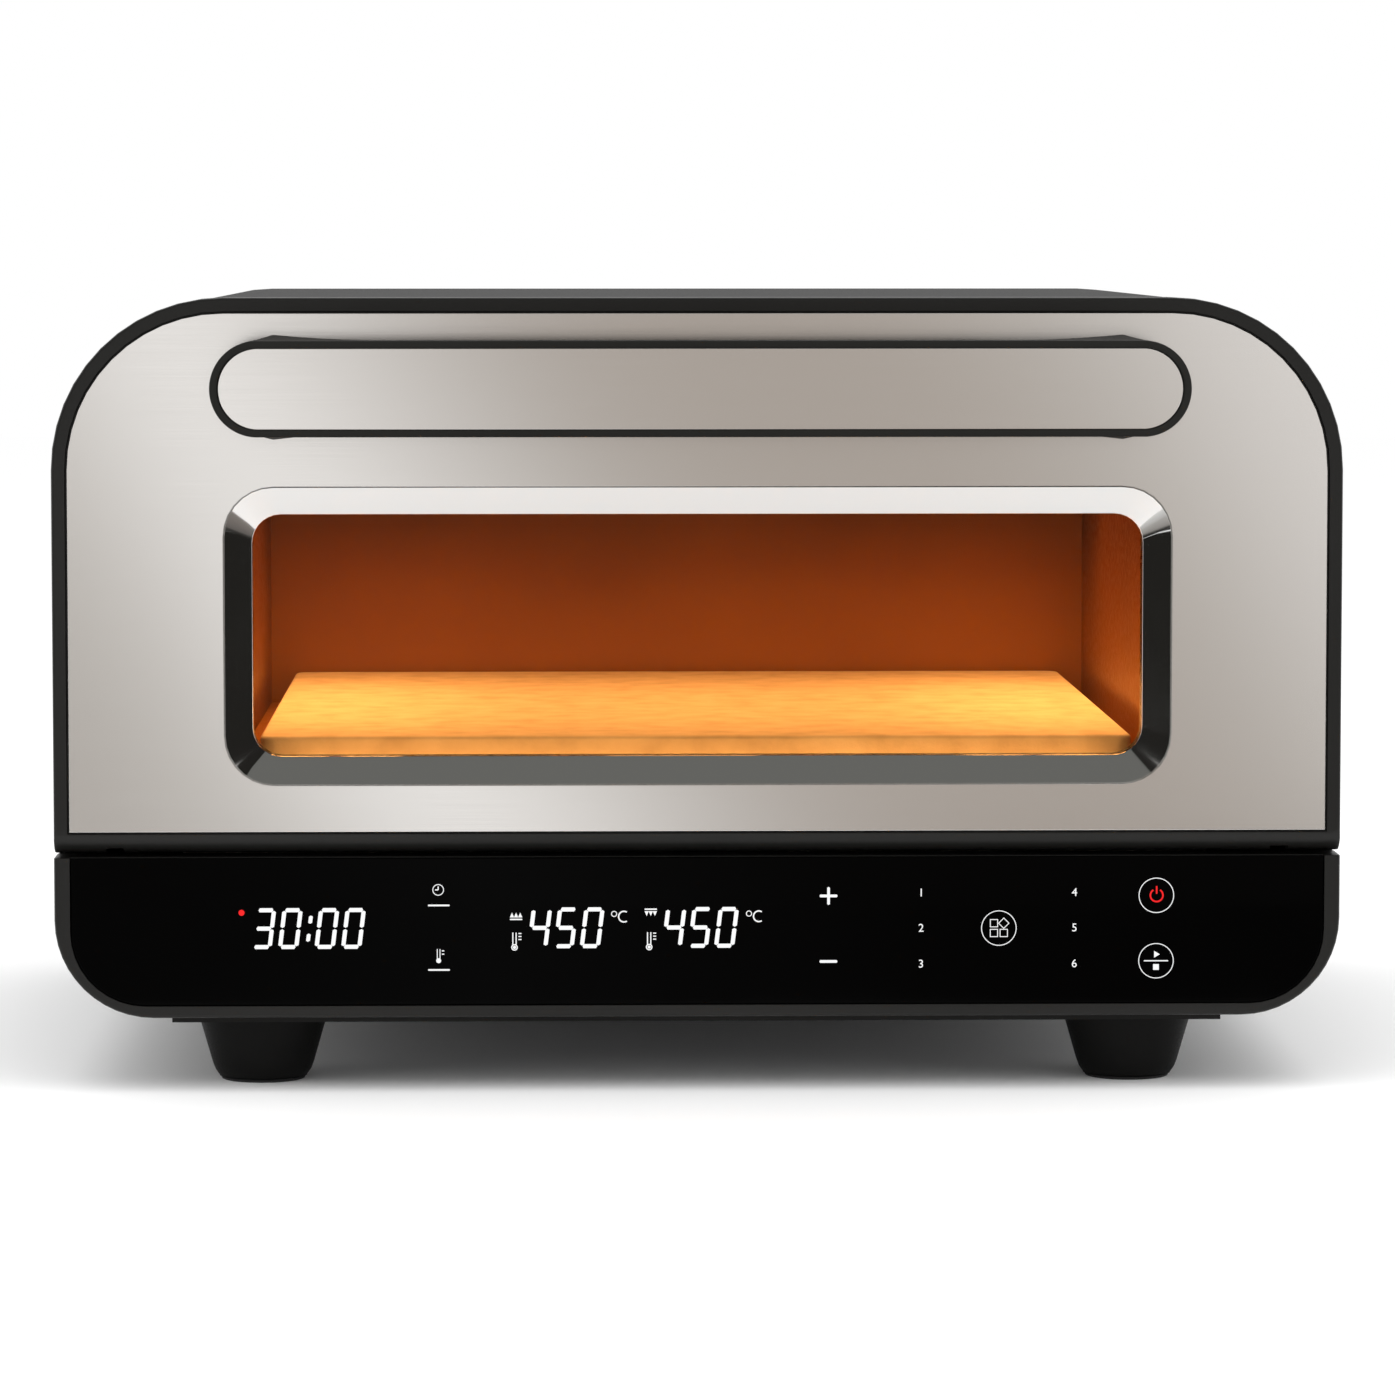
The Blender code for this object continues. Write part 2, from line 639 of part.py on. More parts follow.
def housing_outline(inset, top):
    """Outline of the control housing, square at the top, drawn in by an inset at its sides and foot."""
    left = inset - HALF_WIDTH
    right = HALF_WIDTH - inset
    return rounded_box(left, right, CASE_BOTTOM + inset, top, BOTTOM_RADIUS - inset, 0, CORNER_STEPS)


def window_outline(inset):
    """Outline round the window, drawn in from the bezel's outer edge."""
    radius = WINDOW_RADIUS + (WINDOW_INNER_RADIUS - WINDOW_RADIUS) * inset / BEZEL_WIDTH
    left = inset - WINDOW_WIDTH / 2
    right = WINDOW_WIDTH / 2 - inset
    bottom = WINDOW_BOTTOM + inset
    top = WINDOW_BOTTOM + WINDOW_HEIGHT - inset
    return rounded_box(left, right, bottom, top, radius, radius, arc_steps(WINDOW_RADIUS))


def mouth_outline(growth):
    """Outline of the oven's mouth, grown on all sides."""
    return rounded_box(
        -CHAMBER_HALF - growth,
        CHAMBER_HALF + growth,
        MOUTH_BOTTOM - growth,
        MOUTH_TOP + growth,
        MOUTH_RADIUS + growth,
        MOUTH_RADIUS + growth,
    )


def rounded_front(name, outline, edge, back):
    """Solid behind the rim's face whose front edge is rounded; outline gives a loop for an inset."""
    sections = [(edge, 0.0), (edge * 0.3, edge * 0.3), (0.0, edge), (0.0, back)]
    loops = []
    for inset, distance in sections:
        loops.append([(across, at_depth(distance), up) for across, up in outline(inset)])
    return loft(name, loops, closed=False)


# Casing

def seam_at_bottom(inset):
    """Points of the body's outline from its lower right corner round to its lower left one."""
    loop = body_outline(inset)
    first = CORNER_STEPS + 1
    return loop[first:] + loop[:first]


def make_outer_shell():
    """One sheet over the top, down both sides and under the lower corners."""
    outside = seam_at_bottom(CASE_INSET)
    inside = seam_at_bottom(CASE_INSET + CASE_SHEET)
    loop = [(LIP_END, outside[0][1])] + outside + [(-LIP_END, outside[-1][1])]
    loop += [(-LIP_END, inside[-1][1])] + inside[::-1] + [(LIP_END, inside[0][1])]
    shell = slab("outer_shell", [loop], "XZ", at_depth(SHELL_FRONT), at_depth(BODY_DEPTH))
    return finish(shell, BLACK_STEEL)


def foot_places():
    """Name and place of each foot."""
    for row, distance in (("front", FOOT_FRONT), ("rear", FOOT_REAR)):
        for side, across in (("left", -FOOT_X), ("right", FOOT_X)):
            yield row + "_" + side, across, at_depth(distance)


def power_board_box():
    """Left, right, front and back edges of the power board."""
    right = HALF_WIDTH - POWER_BOARD_SIDE
    back = at_depth(BODY_DEPTH - POWER_BOARD_BACK)
    return right - POWER_BOARD_WIDTH, right, back - POWER_BOARD_DEPTH, back


def make_base_plate():
    """Floor sheet with a turned-down hem, holes for the feet, vents and bosses under the power board."""
    front = at_depth(BASE_FRONT)
    back = at_depth(PANEL_BACK)
    loops = [[(-BASE_HALF, front), (BASE_HALF, front), (BASE_HALF, back), (-BASE_HALF, back)]]
    for _, across, along in foot_places():
        loops.append(circle((across, along), STUD_RADIUS + GAP))
    for index in range(VENT_COUNT):
        across = VENT_X + (index - (VENT_COUNT - 1) / 2) * VENT_PITCH
        vent = stadium((0, 0), VENT_LENGTH, VENT_WIDTH)
        loops.append([(across + up, at_depth(VENT_DEPTH) + along) for along, up in vent])
    plate = slab("base_plate", loops, "XY", BASE_UNDERSIDE - BASE_HEM, BASE_TOP)
    low = (BASE_SHEET - BASE_HALF, front + BASE_SHEET, BASE_UNDERSIDE - BASE_HEM - OVERRUN)
    high = (BASE_HALF - BASE_SHEET, back - BASE_SHEET, BASE_UNDERSIDE)
    cut(plate, box("base_hollow", low, high))
    left, right, near, far = power_board_box()
    for across in (left + BOSS_INSET, right - BOSS_INSET):
        for along in (near + BOSS_INSET, far - BOSS_INSET):
            foot = BASE_TOP - BASE_SHEET / 2
            join(plate, rod("boss", BOSS_RADIUS, "Z", (across, along), foot, BASE_TOP + BOSS_HEIGHT, 12))
    return finish(plate, BARE_STEEL)


def grille_slots():
    """Slots in the back panel, in rows across the fan's bore."""
    pitch = FAN_GRILLE_SLOT + FAN_GRILLE_BAR
    for row in range(FAN_GRILLE_ROWS):
        rise = (row - (FAN_GRILLE_ROWS - 1) / 2) * pitch
        edge = abs(rise) + FAN_GRILLE_SLOT / 2
        length = 2 * math.sqrt(max(FAN_BORE ** 2 - edge ** 2, FAN_GRILLE_SLOT ** 2))
        yield stadium((FAN_X, FAN_HEIGHT + rise), length, FAN_GRILLE_SLOT)


def make_rear_panel():
    """Back sheet with a turned flange, rows of louvres, the fan's grille and the hole for the gland."""
    near = at_depth(PANEL_FRONT - PANEL_FLANGE)
    back = at_depth(PANEL_BACK)
    panel = slab("rear_panel", [body_outline(CASE_CLEAR)], "XZ", near, back)
    hollow = [body_outline(CASE_CLEAR + CASE_SHEET)]
    cut(panel, slab("rear_hollow", hollow, "XZ", near - OVERRUN, at_depth(PANEL_FRONT)))
    openings = [circle((GLAND_X, GLAND_HEIGHT), GLAND_RADIUS + GAP)]
    openings += list(grille_slots())
    for row in range(LOUVRE_ROWS):
        for column in range(LOUVRE_COLUMNS):
            across = (column - (LOUVRE_COLUMNS - 1) / 2) * LOUVRE_PITCH_X
            up = CASE_BOTTOM + LOUVRE_RISE + row * LOUVRE_PITCH_Z
            openings.append(stadium((across, up), LOUVRE_LENGTH, LOUVRE_WIDTH))
    cut(panel, slab("rear_openings", openings, "XZ", at_depth(PANEL_FRONT - OVERRUN), back + OVERRUN))
    return finish(panel, BLACK_STEEL)


def make_front_frame():
    """Pressed frame inside the shell's front edge, with the oven's mouth and slots for the hinge ears."""
    loops = [door_outline(CASE_CLEAR, DOOR_BOTTOM), mouth_outline(0)]
    frame = slab("front_frame", loops, "XZ", at_depth(SHELL_FRONT + GAP), at_depth(FRAME_BACK))
    hollow = [door_outline(CASE_CLEAR + FRAME_SHEET, DOOR_BOTTOM - OVERRUN)]
    cut(frame, slab("frame_hollow", hollow, "XZ", at_depth(SHELL_FRONT - OVERRUN), at_depth(FRAME_FLOOR_FRONT)))
    half = EAR_THICKNESS / 2 + EAR_SIDE_CLEARANCE
    top = HINGE_HEIGHT + EAR_RADIUS + EAR_TURN_CLEARANCE
    for across in (-EAR_X, EAR_X):
        low = (across - half, at_depth(SHELL_FRONT), DOOR_BOTTOM - OVERRUN)
        high = (across + half, at_depth(FRAME_BACK + OVERRUN), top)
        cut(frame, box("ear_slot", low, high))
    return finish(frame, BLACK_STEEL)


def make_feet():
    """Four tapered feet, each with a snap stud above and a rubber pad in a recess below."""
    pieces = []
    stud_top = BASE_TOP + STUD_LENGTH
    foot_profile = [
        (0, stud_top),
        (STUD_RADIUS - PAD_EDGE, stud_top),
        (STUD_RADIUS, stud_top - PAD_EDGE),
        (STUD_RADIUS, FOOT_TOP),
        (FOOT_TOP_RADIUS, FOOT_TOP),
        (FOOT_TOP_RADIUS, FOOT_TOP - FOOT_SHOULDER),
        (FOOT_LOW_RADIUS, FOOT_LIFT + PAD_EDGE),
        (FOOT_LOW_RADIUS - PAD_EDGE, FOOT_LIFT),
        (PAD_RADIUS + GAP, FOOT_LIFT),
        (PAD_RADIUS + GAP, PAD_THICKNESS + GAP),
        (0, PAD_THICKNESS + GAP),
    ]
    pad_profile = [
        (0, PAD_THICKNESS),
        (PAD_RADIUS, PAD_THICKNESS),
        (PAD_RADIUS, PAD_EDGE),
        (PAD_RADIUS - PAD_EDGE, 0),
        (0, 0),
    ]
    for name, across, along in foot_places():
        foot = turned("foot_" + name, foot_profile, "Z", (across, along, 0), steps=20)
        pad = turned("foot_pad_" + name, pad_profile, "Z", (across, along, 0))
        pieces += [finish(foot, BLACK_PLASTIC), finish(pad, RUBBER)]
    return pieces


# Controls

def glass_outline(growth):
    """Outline of the control glass, grown at its sides and foot."""
    half = HALF_WIDTH - HOUSING_SIDE - GAP + growth
    bottom = CASE_BOTTOM + HOUSING_SILL + GAP - growth
    return half, bottom, GLASS_RADIUS + growth


def make_control_housing():
    """Moulding under the door: a rim round the glass, a ledge behind it and a tongue inside the shell."""
    housing = rounded_front(
        "control_housing", lambda inset: housing_outline(inset, HOUSING_TOP), HOUSING_EDGE, SHELL_FRONT - GAP
    )
    tongue = [housing_outline(CASE_CLEAR, HOUSING_TOP - CASE_CLEAR)]
    tongue_back = SHELL_FRONT + HOUSING_SPIGOT
    join(housing, slab("tongue", tongue, "XZ", at_depth(LEDGE_BACK + OVERRUN), at_depth(tongue_back)))
    half, bottom, radius = glass_outline(GAP)
    pocket = [rounded_box(-half, half, bottom, HOUSING_TOP + OVERRUN, radius, 0)]
    cut(housing, slab("glass_pocket", pocket, "XZ", at_depth(-OVERRUN), at_depth(GLASS_BACK + GAP)))
    space = [housing_outline(HOUSING_WALL, HOUSING_TOP - HOUSING_ROOF)]
    cut(housing, slab("board_space", space, "XZ", at_depth(LEDGE_BACK), at_depth(tongue_back + OVERRUN)))
    low = (BOARD_LAP - BOARD_HALF, at_depth(0), BOARD_LOW + BOARD_LAP)
    high = (BOARD_HALF - BOARD_LAP, at_depth(LEDGE_BACK + OVERRUN), BOARD_HIGH - BOARD_LAP)
    cut(housing, box("board_window", low, high))
    return finish(housing, BLACK_PLASTIC)


def make_control_glass():
    """Touch glass that covers the housing up to its top edge."""
    half, bottom, radius = glass_outline(0)
    loop = rounded_box(-half, half, bottom, HOUSING_TOP - GLASS_SET, radius, 0)
    glass = slab("control_glass", [loop], "XZ", at_depth(GLASS_SET), at_depth(GLASS_BACK))
    return finish(glass, BLACK_GLASS)


def make_control_boards():
    """Display and touch boards on the housing's ledge, and the digit modules on the display board."""
    near = at_depth(LEDGE_BACK + GAP)
    far = near + BOARD_SHEET
    display_end = BOARD_BREAK - BOARD_SPACE / 2
    touch_end = BOARD_BREAK + BOARD_SPACE / 2
    display = box("display_board", (-BOARD_HALF, near, BOARD_LOW), (display_end, far, BOARD_HIGH))
    touch = box("touch_board", (touch_end, near, BOARD_LOW), (BOARD_HALF, far, BOARD_HIGH))
    pieces = [finish(display, CIRCUIT_BOARD), finish(touch, CIRCUIT_BOARD)]
    modules = (
        ("time_display", TIME_DISPLAY_X, TIME_DISPLAY_WIDTH),
        ("temperature_display", TEMPERATURE_DISPLAY_X, TEMPERATURE_DISPLAY_WIDTH),
    )
    middle = CASE_BOTTOM + DISPLAY_RISE
    for name, across, width in modules:
        low = (across - width / 2, near - GAP - DISPLAY_THICKNESS, middle - DISPLAY_HEIGHT / 2)
        high = (across + width / 2, near - GAP, middle + DISPLAY_HEIGHT / 2)
        pieces.append(finish(box(name, low, high), DISPLAY))
    return pieces


def on_board(name, size, across, along):
    """Component of a given size standing on the power board."""
    width, depth, height = size
    low = (across - width / 2, along - depth / 2, BOARD_TOP + GAP)
    high = (across + width / 2, along + depth / 2, BOARD_TOP + GAP + height)
    return box(name, low, high)


def make_power_board():
    """Supply board on the base plate's bosses, with the heaters' relays and the transformer."""
    left, right, near, far = power_board_box()
    board = box("power_board", (left, near, BOARD_TOP - BOARD_SHEET), (right, far, BOARD_TOP))
    middle = (near + far) / 2
    upper = on_board("upper_relay", RELAY_SIZE, right - RELAY_INSET - RELAY_SPACING, middle)
    lower = on_board("lower_relay", RELAY_SIZE, right - RELAY_INSET, middle)
    transformer = on_board("transformer", TRANSFORMER_SIZE, left + TRANSFORMER_INSET, middle)
    return [
        finish(board, CIRCUIT_BOARD),
        finish(upper, COMPONENT),
        finish(lower, COMPONENT),
        finish(transformer, BLACK_PLASTIC),
    ]


def make_terminal_block():
    """Block on the base plate where the mains wires end, open at the back for each wire."""
    width, depth, height = TERMINAL_SIZE
    along = at_depth(BODY_DEPTH - TERMINAL_BACK)
    low = (TERMINAL_X - width / 2, along - depth / 2, BASE_TOP + GAP)
    high = (TERMINAL_X + width / 2, along + depth / 2, BASE_TOP + GAP + height)
    block = box("terminal_block", low, high)
    for way in range(TERMINAL_WAYS):
        across = TERMINAL_X + (way - (TERMINAL_WAYS - 1) / 2) * width / TERMINAL_WAYS
        way_low = (across - TERMINAL_WAY_WIDTH / 2, high[1] - TERMINAL_WAY_DEPTH, high[2] - TERMINAL_WAY_DEPTH)
        way_high = (across + TERMINAL_WAY_WIDTH / 2, high[1] + OVERRUN, high[2] + OVERRUN)
        cut(block, box("wire_way", way_low, way_high))
    return finish(block, CERAMIC)


def make_cord_gland():
    """Flanged bush through the back panel."""
    bush = [
        (GLAND_FLANGE_RADIUS, CASE_SHEET + GAP + GLAND_FLANGE),
        (GLAND_FLANGE_RADIUS, CASE_SHEET + GAP),
        (GLAND_RADIUS, CASE_SHEET + GAP),
        (GLAND_RADIUS, -GLAND_TAIL),
        (GLAND_BORE, -GLAND_TAIL),
        (GLAND_BORE, CASE_SHEET + GAP + GLAND_FLANGE),
    ]
    gland = turned("cord_gland", bush, "Y", (GLAND_X, at_depth(PANEL_FRONT), GLAND_HEIGHT), closed=True)
    return finish(gland, BLACK_PLASTIC)


def make_fan_frame():
    """Square fan frame on the back panel, with a motor boss on two struts and the rotor's shaft."""
    half = FAN_SIZE / 2
    left = FAN_X - half
    right = FAN_X + half
    ring = rounded_box(left, right, FAN_HEIGHT - half, FAN_HEIGHT + half, FAN_CORNER, FAN_CORNER)
    bore = circle((FAN_X, FAN_HEIGHT), FAN_BORE)
    frame = slab("fan_frame", [ring, bore], "XZ", at_depth(FAN_BACK - FAN_DEPTH), at_depth(FAN_BACK))
    near = at_depth(FAN_BACK - GAP - FAN_STRUT)
    far = at_depth(FAN_BACK - GAP)
    reach = FAN_BORE + FAN_WALL / 2
    thin = FAN_STRUT / 2
    middle = (FAN_X, FAN_HEIGHT)
    across = box("strut", (FAN_X - reach, near, FAN_HEIGHT - thin), (FAN_X + reach, far, FAN_HEIGHT + thin))
    upright = box("strut", (FAN_X - thin, near, FAN_HEIGHT - reach), (FAN_X + thin, far, FAN_HEIGHT + reach))
    boss = rod("motor_boss", FAN_HUB_RADIUS, "Y", middle, near - GAP, far - GAP)
    shaft = rod("shaft", FAN_SHAFT_RADIUS, "Y", middle, near - FAN_SHAFT_LENGTH, near + thin, 12)
    join(frame, across, upright, boss, shaft)
    return finish(frame, BLACK_PLASTIC)


def make_fan_rotor():
    """Hub with a blind bore over the shaft, and pitched blades round it."""
    front = FAN_BACK - FAN_DEPTH + FAN_HUB_SET
    shaft_tip = FAN_BACK - GAP - FAN_STRUT - FAN_SHAFT_LENGTH
    bore_end = shaft_tip - GAP - front
    bore = FAN_SHAFT_RADIUS + GAP
    hub = [
        (0, bore_end),
        (bore, bore_end),
        (bore, FAN_HUB_LENGTH),
        (FAN_HUB_RADIUS, FAN_HUB_LENGTH),
        (FAN_HUB_RADIUS, 0),
        (0, 0),
    ]
    rotor = turned("fan_rotor", hub, "Y", (FAN_X, at_depth(front), FAN_HEIGHT), steps=28)
    builder = bmesh.new()
    tip = FAN_BORE - FAN_TIP_CLEARANCE
    root = FAN_HUB_RADIUS - FAN_BLADE_ROOT
    for blade in range(FAN_BLADES):
        made = bmesh.ops.create_cube(builder, size=1)["verts"]
        bmesh.ops.scale(builder, vec=(tip - root, FAN_BLADE_CHORD, FAN_BLADE_SHEET), verts=made)
        pitch = Matrix.Rotation(math.radians(FAN_BLADE_PITCH), 4, "X")
        outward = Matrix.Translation(((tip + root) / 2, 0, FAN_HUB_LENGTH / 2))
        round_axis = Matrix.Rotation(2 * math.pi * blade / FAN_BLADES, 4, "Z")
        bmesh.ops.transform(builder, matrix=round_axis @ outward @ pitch, verts=made)
    blades = add_mesh("fan_blades", builder)
    blades.rotation_euler = rotor.rotation_euler
    blades.location = rotor.location
    join(rotor, blades)
    return finish(rotor, BLACK_PLASTIC)


# Oven chamber

def back_feeds():
    """What passes through the chamber's back wall: across, height, radius there, and radius behind it."""
    for height in (UPPER_HEATER_HEIGHT, LOWER_HEATER_HEIGHT):
        for across in (-HEATER_LEG, HEATER_LEG):
            yield across, height, HEATER_RADIUS, HEATER_RADIUS
    for height in (UPPER_SENSOR_HEIGHT, LOWER_SENSOR_HEIGHT):
        yield SENSOR_X, height, SENSOR_RADIUS, SENSOR_FLANGE_RADIUS


def make_cavity_liner():
    """Five-sided steel chamber with a flange behind the front frame and holes for what passes through."""
    half = CHAMBER_HALF + LINER_SHEET
    floor = CHAMBER_FLOOR - LINER_SHEET
    ceiling = CHAMBER_CEILING + LINER_SHEET
    liner = box("cavity_liner", (-half, at_depth(LINER_FRONT), floor), (half, at_depth(LINER_BACK), ceiling))
    low = (-half - LINER_FLANGE, at_depth(LINER_FRONT), floor - LINER_FLANGE)
    high = (half + LINER_FLANGE, at_depth(LINER_FRONT + LINER_SHEET), ceiling + LINER_FLANGE)
    join(liner, box("liner_flange", low, high))
    inner_low = (-CHAMBER_HALF, at_depth(LINER_FRONT - OVERRUN), CHAMBER_FLOOR)
    inner_high = (CHAMBER_HALF, at_depth(CHAMBER_BACK), CHAMBER_CEILING)
    cut(liner, box("chamber_space", inner_low, inner_high))
    near = at_depth(CHAMBER_BACK - OVERRUN)
    far = at_depth(LINER_BACK + OVERRUN)
    for across, height, radius, _ in back_feeds():
        cut(liner, rod("feed_hole", radius + GAP, "Y", (across, height), near, far, 16))
    lamp_place = (at_depth(LAMP_PLACE_DEPTH), LAMP_HEIGHT)
    cut(liner, rod("lamp_hole", LAMP_RADIUS, "X", lamp_place, CHAMBER_HALF - OVERRUN, half + OVERRUN))
    return finish(liner, BARE_STEEL)


def make_insulation():
    """Fibre jacket round the chamber's sides, top, floor and back."""
    inner = CHAMBER_HALF + LINER_SHEET + GAP
    floor = CHAMBER_FLOOR - LINER_SHEET - GAP
    ceiling = CHAMBER_CEILING + LINER_SHEET + GAP
    front = at_depth(LINER_FRONT + INSULATION_SETBACK)
    back = at_depth(LINER_BACK + GAP)
    outer = inner + INSULATION
    low = (-outer, front, floor - INSULATION_FLOOR)
    high = (outer, at_depth(INSULATION_REAR), ceiling + INSULATION)
    jacket = box("insulation", low, high)
    cut(jacket, box("jacket_space", (-inner, front - OVERRUN, floor), (inner, back, ceiling)))
    near = back - OVERRUN
    far = at_depth(INSULATION_REAR + OVERRUN)
    for across, height, _, radius in back_feeds():
        cut(jacket, rod("jacket_hole", radius + FEED_CLEARANCE, "Y", (across, height), near, far, 16))
    cutout_hole = CUTOUT_FLANGE_RADIUS + FEED_CLEARANCE
    cut(jacket, rod("jacket_hole", cutout_hole, "Y", (CUTOUT_X, CUTOUT_LEVEL), near, far, 16))
    lamp_hole = LAMP_RADIUS + LAMP_WALL + LAMP_FLANGE + FEED_CLEARANCE
    lamp_place = (at_depth(LAMP_PLACE_DEPTH), LAMP_HEIGHT)
    cut(jacket, rod("jacket_hole", lamp_hole, "X", lamp_place, inner - OVERRUN, outer + OVERRUN))
    return finish(jacket, FIBRE)


def make_pizza_stone():
    """Fired slab that lies on the two rails."""
    front = at_depth(LINER_FRONT + STONE_END_GAP)
    back = at_depth(CHAMBER_BACK - STONE_END_GAP)
    loop = rounded_box(-STONE_HALF, STONE_HALF, front, back, STONE_RADIUS, STONE_RADIUS)
    stone = slab("pizza_stone", [loop], "XY", STONE_BOTTOM, STONE_BOTTOM + STONE_THICKNESS)
    return finish(stone, STONE)


def make_stone_rails():
    """Two angles welded to the chamber's sides, under the edges of the stone."""
    wall = CHAMBER_HALF - GAP
    top = STONE_BOTTOM - GAP
    inner = STONE_HALF - RAIL_LAP
    angle = [
        (inner, top - RAIL_SHEET),
        (wall - RAIL_SHEET, top - RAIL_SHEET),
        (wall - RAIL_SHEET, top - RAIL_HEIGHT),
        (wall, top - RAIL_HEIGHT),
        (wall, top),
        (inner, top),
    ]
    near = at_depth(LINER_FRONT + RAIL_END_GAP)
    far = at_depth(CHAMBER_BACK - RAIL_END_GAP)
    right = slab("stone_rail_right", [angle], "XZ", near, far)
    mirrored = [(-across, up) for across, up in reversed(angle)]
    left = slab("stone_rail_left", [mirrored], "XZ", near, far)
    return [finish(left, BARE_STEEL), finish(right, BARE_STEEL)]


def rounded_path(corners, radius):
    """Points along a bent line whose corners are arcs of one radius."""
    points = [corners[0]]
    for before, corner, after in zip(corners, corners[1:], corners[2:]):
        back = (before - corner).normalized()
        ahead = (after - corner).normalized()
        half_angle = back.angle(ahead) / 2
        centre = corner + (back + ahead).normalized() * (radius / math.sin(half_angle))
        start = corner + back * (radius / math.tan(half_angle)) - centre
        end = corner + ahead * (radius / math.tan(half_angle)) - centre
        sweep = start.angle(end)
        for step in range(BEND_STEPS + 1):
            share = step / BEND_STEPS
            from_start = start * math.sin((1 - share) * sweep)
            from_end = end * math.sin(share * sweep)
            points.append(centre + (from_start + from_end) / math.sin(sweep))
    points.append(corners[-1])
    return points


def make_heater(name, height):
    """Tubular element bent in one plane, with both ends through the chamber's back."""
    front = at_depth(LINER_FRONT + HEATER_FRONT)
    rear = at_depth(CHAMBER_BACK - HEATER_REAR)
    middle = at_depth(CHAMBER_BACK - HEATER_MIDDLE)
    end = at_depth(INSULATION_REAR + HEATER_TAIL)
    half = [
        (HEATER_LEG, end),
        (HEATER_LEG, rear),
        (HEATER_SPAN, rear),
        (HEATER_SPAN, front),
        (HEATER_INNER, front),
        (HEATER_INNER, middle),
    ]
    corners = [Vector((-across, along, height)) for across, along in half]
    corners += [Vector((across, along, height)) for across, along in reversed(half)]
    return finish(tube(name, rounded_path(corners, HEATER_BEND), HEATER_RADIUS), BARE_STEEL)


def make_heater_brackets():
    """Strap under the upper element, hung from the ceiling, and a bench under the lower one."""
    reach = HEATER_SPAN + HANGER_OVERHANG
    sheet = HANGER_SHEET
    foot = HANGER_FOOT
    middle = (LINER_FRONT + HEATER_FRONT + CHAMBER_BACK - HEATER_MIDDLE) / 2
    near = at_depth(middle - HANGER_WIDTH / 2)
    far = at_depth(middle + HANGER_WIDTH / 2)
    bar = UPPER_HEATER_HEIGHT - HEATER_RADIUS - GAP
    top = CHAMBER_CEILING - GAP
    right = [
        (reach, bar - sheet),
        (reach, top - sheet),
        (reach + foot, top - sheet),
        (reach + foot, top),
        (reach - sheet, top),
        (reach - sheet, bar),
    ]
    loop = right + [(-across, up) for across, up in reversed(right)]
    hanger = slab("upper_heater_hanger", [loop], "XZ", near, far)
    bench = LOWER_HEATER_HEIGHT - HEATER_RADIUS - GAP
    floor = CHAMBER_FLOOR + GAP
    right = [
        (reach - sheet, bench - sheet),
        (reach - sheet, floor),
        (reach + foot, floor),
        (reach + foot, floor + sheet),
        (reach, floor + sheet),
        (reach, bench),
    ]
    loop = right + [(-across, up) for across, up in reversed(right)]
    support = slab("lower_heater_support", [loop], "XZ", near, far)
    return [finish(hanger, BARE_STEEL), finish(support, BARE_STEEL)]


def make_sensor(name, height):
    """Probe through the chamber's back wall, seated by its flange."""
    inside = -GAP - LINER_SHEET - SENSOR_REACH
    profile = [
        (0, SENSOR_FLANGE + SENSOR_TAIL),
        (SENSOR_RADIUS, SENSOR_FLANGE + SENSOR_TAIL),
        (SENSOR_RADIUS, SENSOR_FLANGE),
        (SENSOR_FLANGE_RADIUS, SENSOR_FLANGE),
        (SENSOR_FLANGE_RADIUS, 0),
        (SENSOR_RADIUS, 0),
        (SENSOR_RADIUS, inside),
        (0, inside),
    ]
    sensor = turned(name, profile, "Y", (SENSOR_X, at_depth(LINER_BACK + GAP), height), steps=16)
    return finish(sensor, POLISHED_STEEL)


def make_thermal_cutout():
    """Safety switch with a flange on the back of the chamber."""
    profile = [
        (0, CUTOUT_HEIGHT),
        (CUTOUT_RADIUS, CUTOUT_HEIGHT),
        (CUTOUT_RADIUS, CUTOUT_FLANGE),
        (CUTOUT_FLANGE_RADIUS, CUTOUT_FLANGE),
        (CUTOUT_FLANGE_RADIUS, 0),
        (0, 0),
    ]
    place = (CUTOUT_X, at_depth(LINER_BACK + GAP), CUTOUT_LEVEL)
    return finish(turned("thermal_cutout", profile, "Y", place, steps=20), CERAMIC)


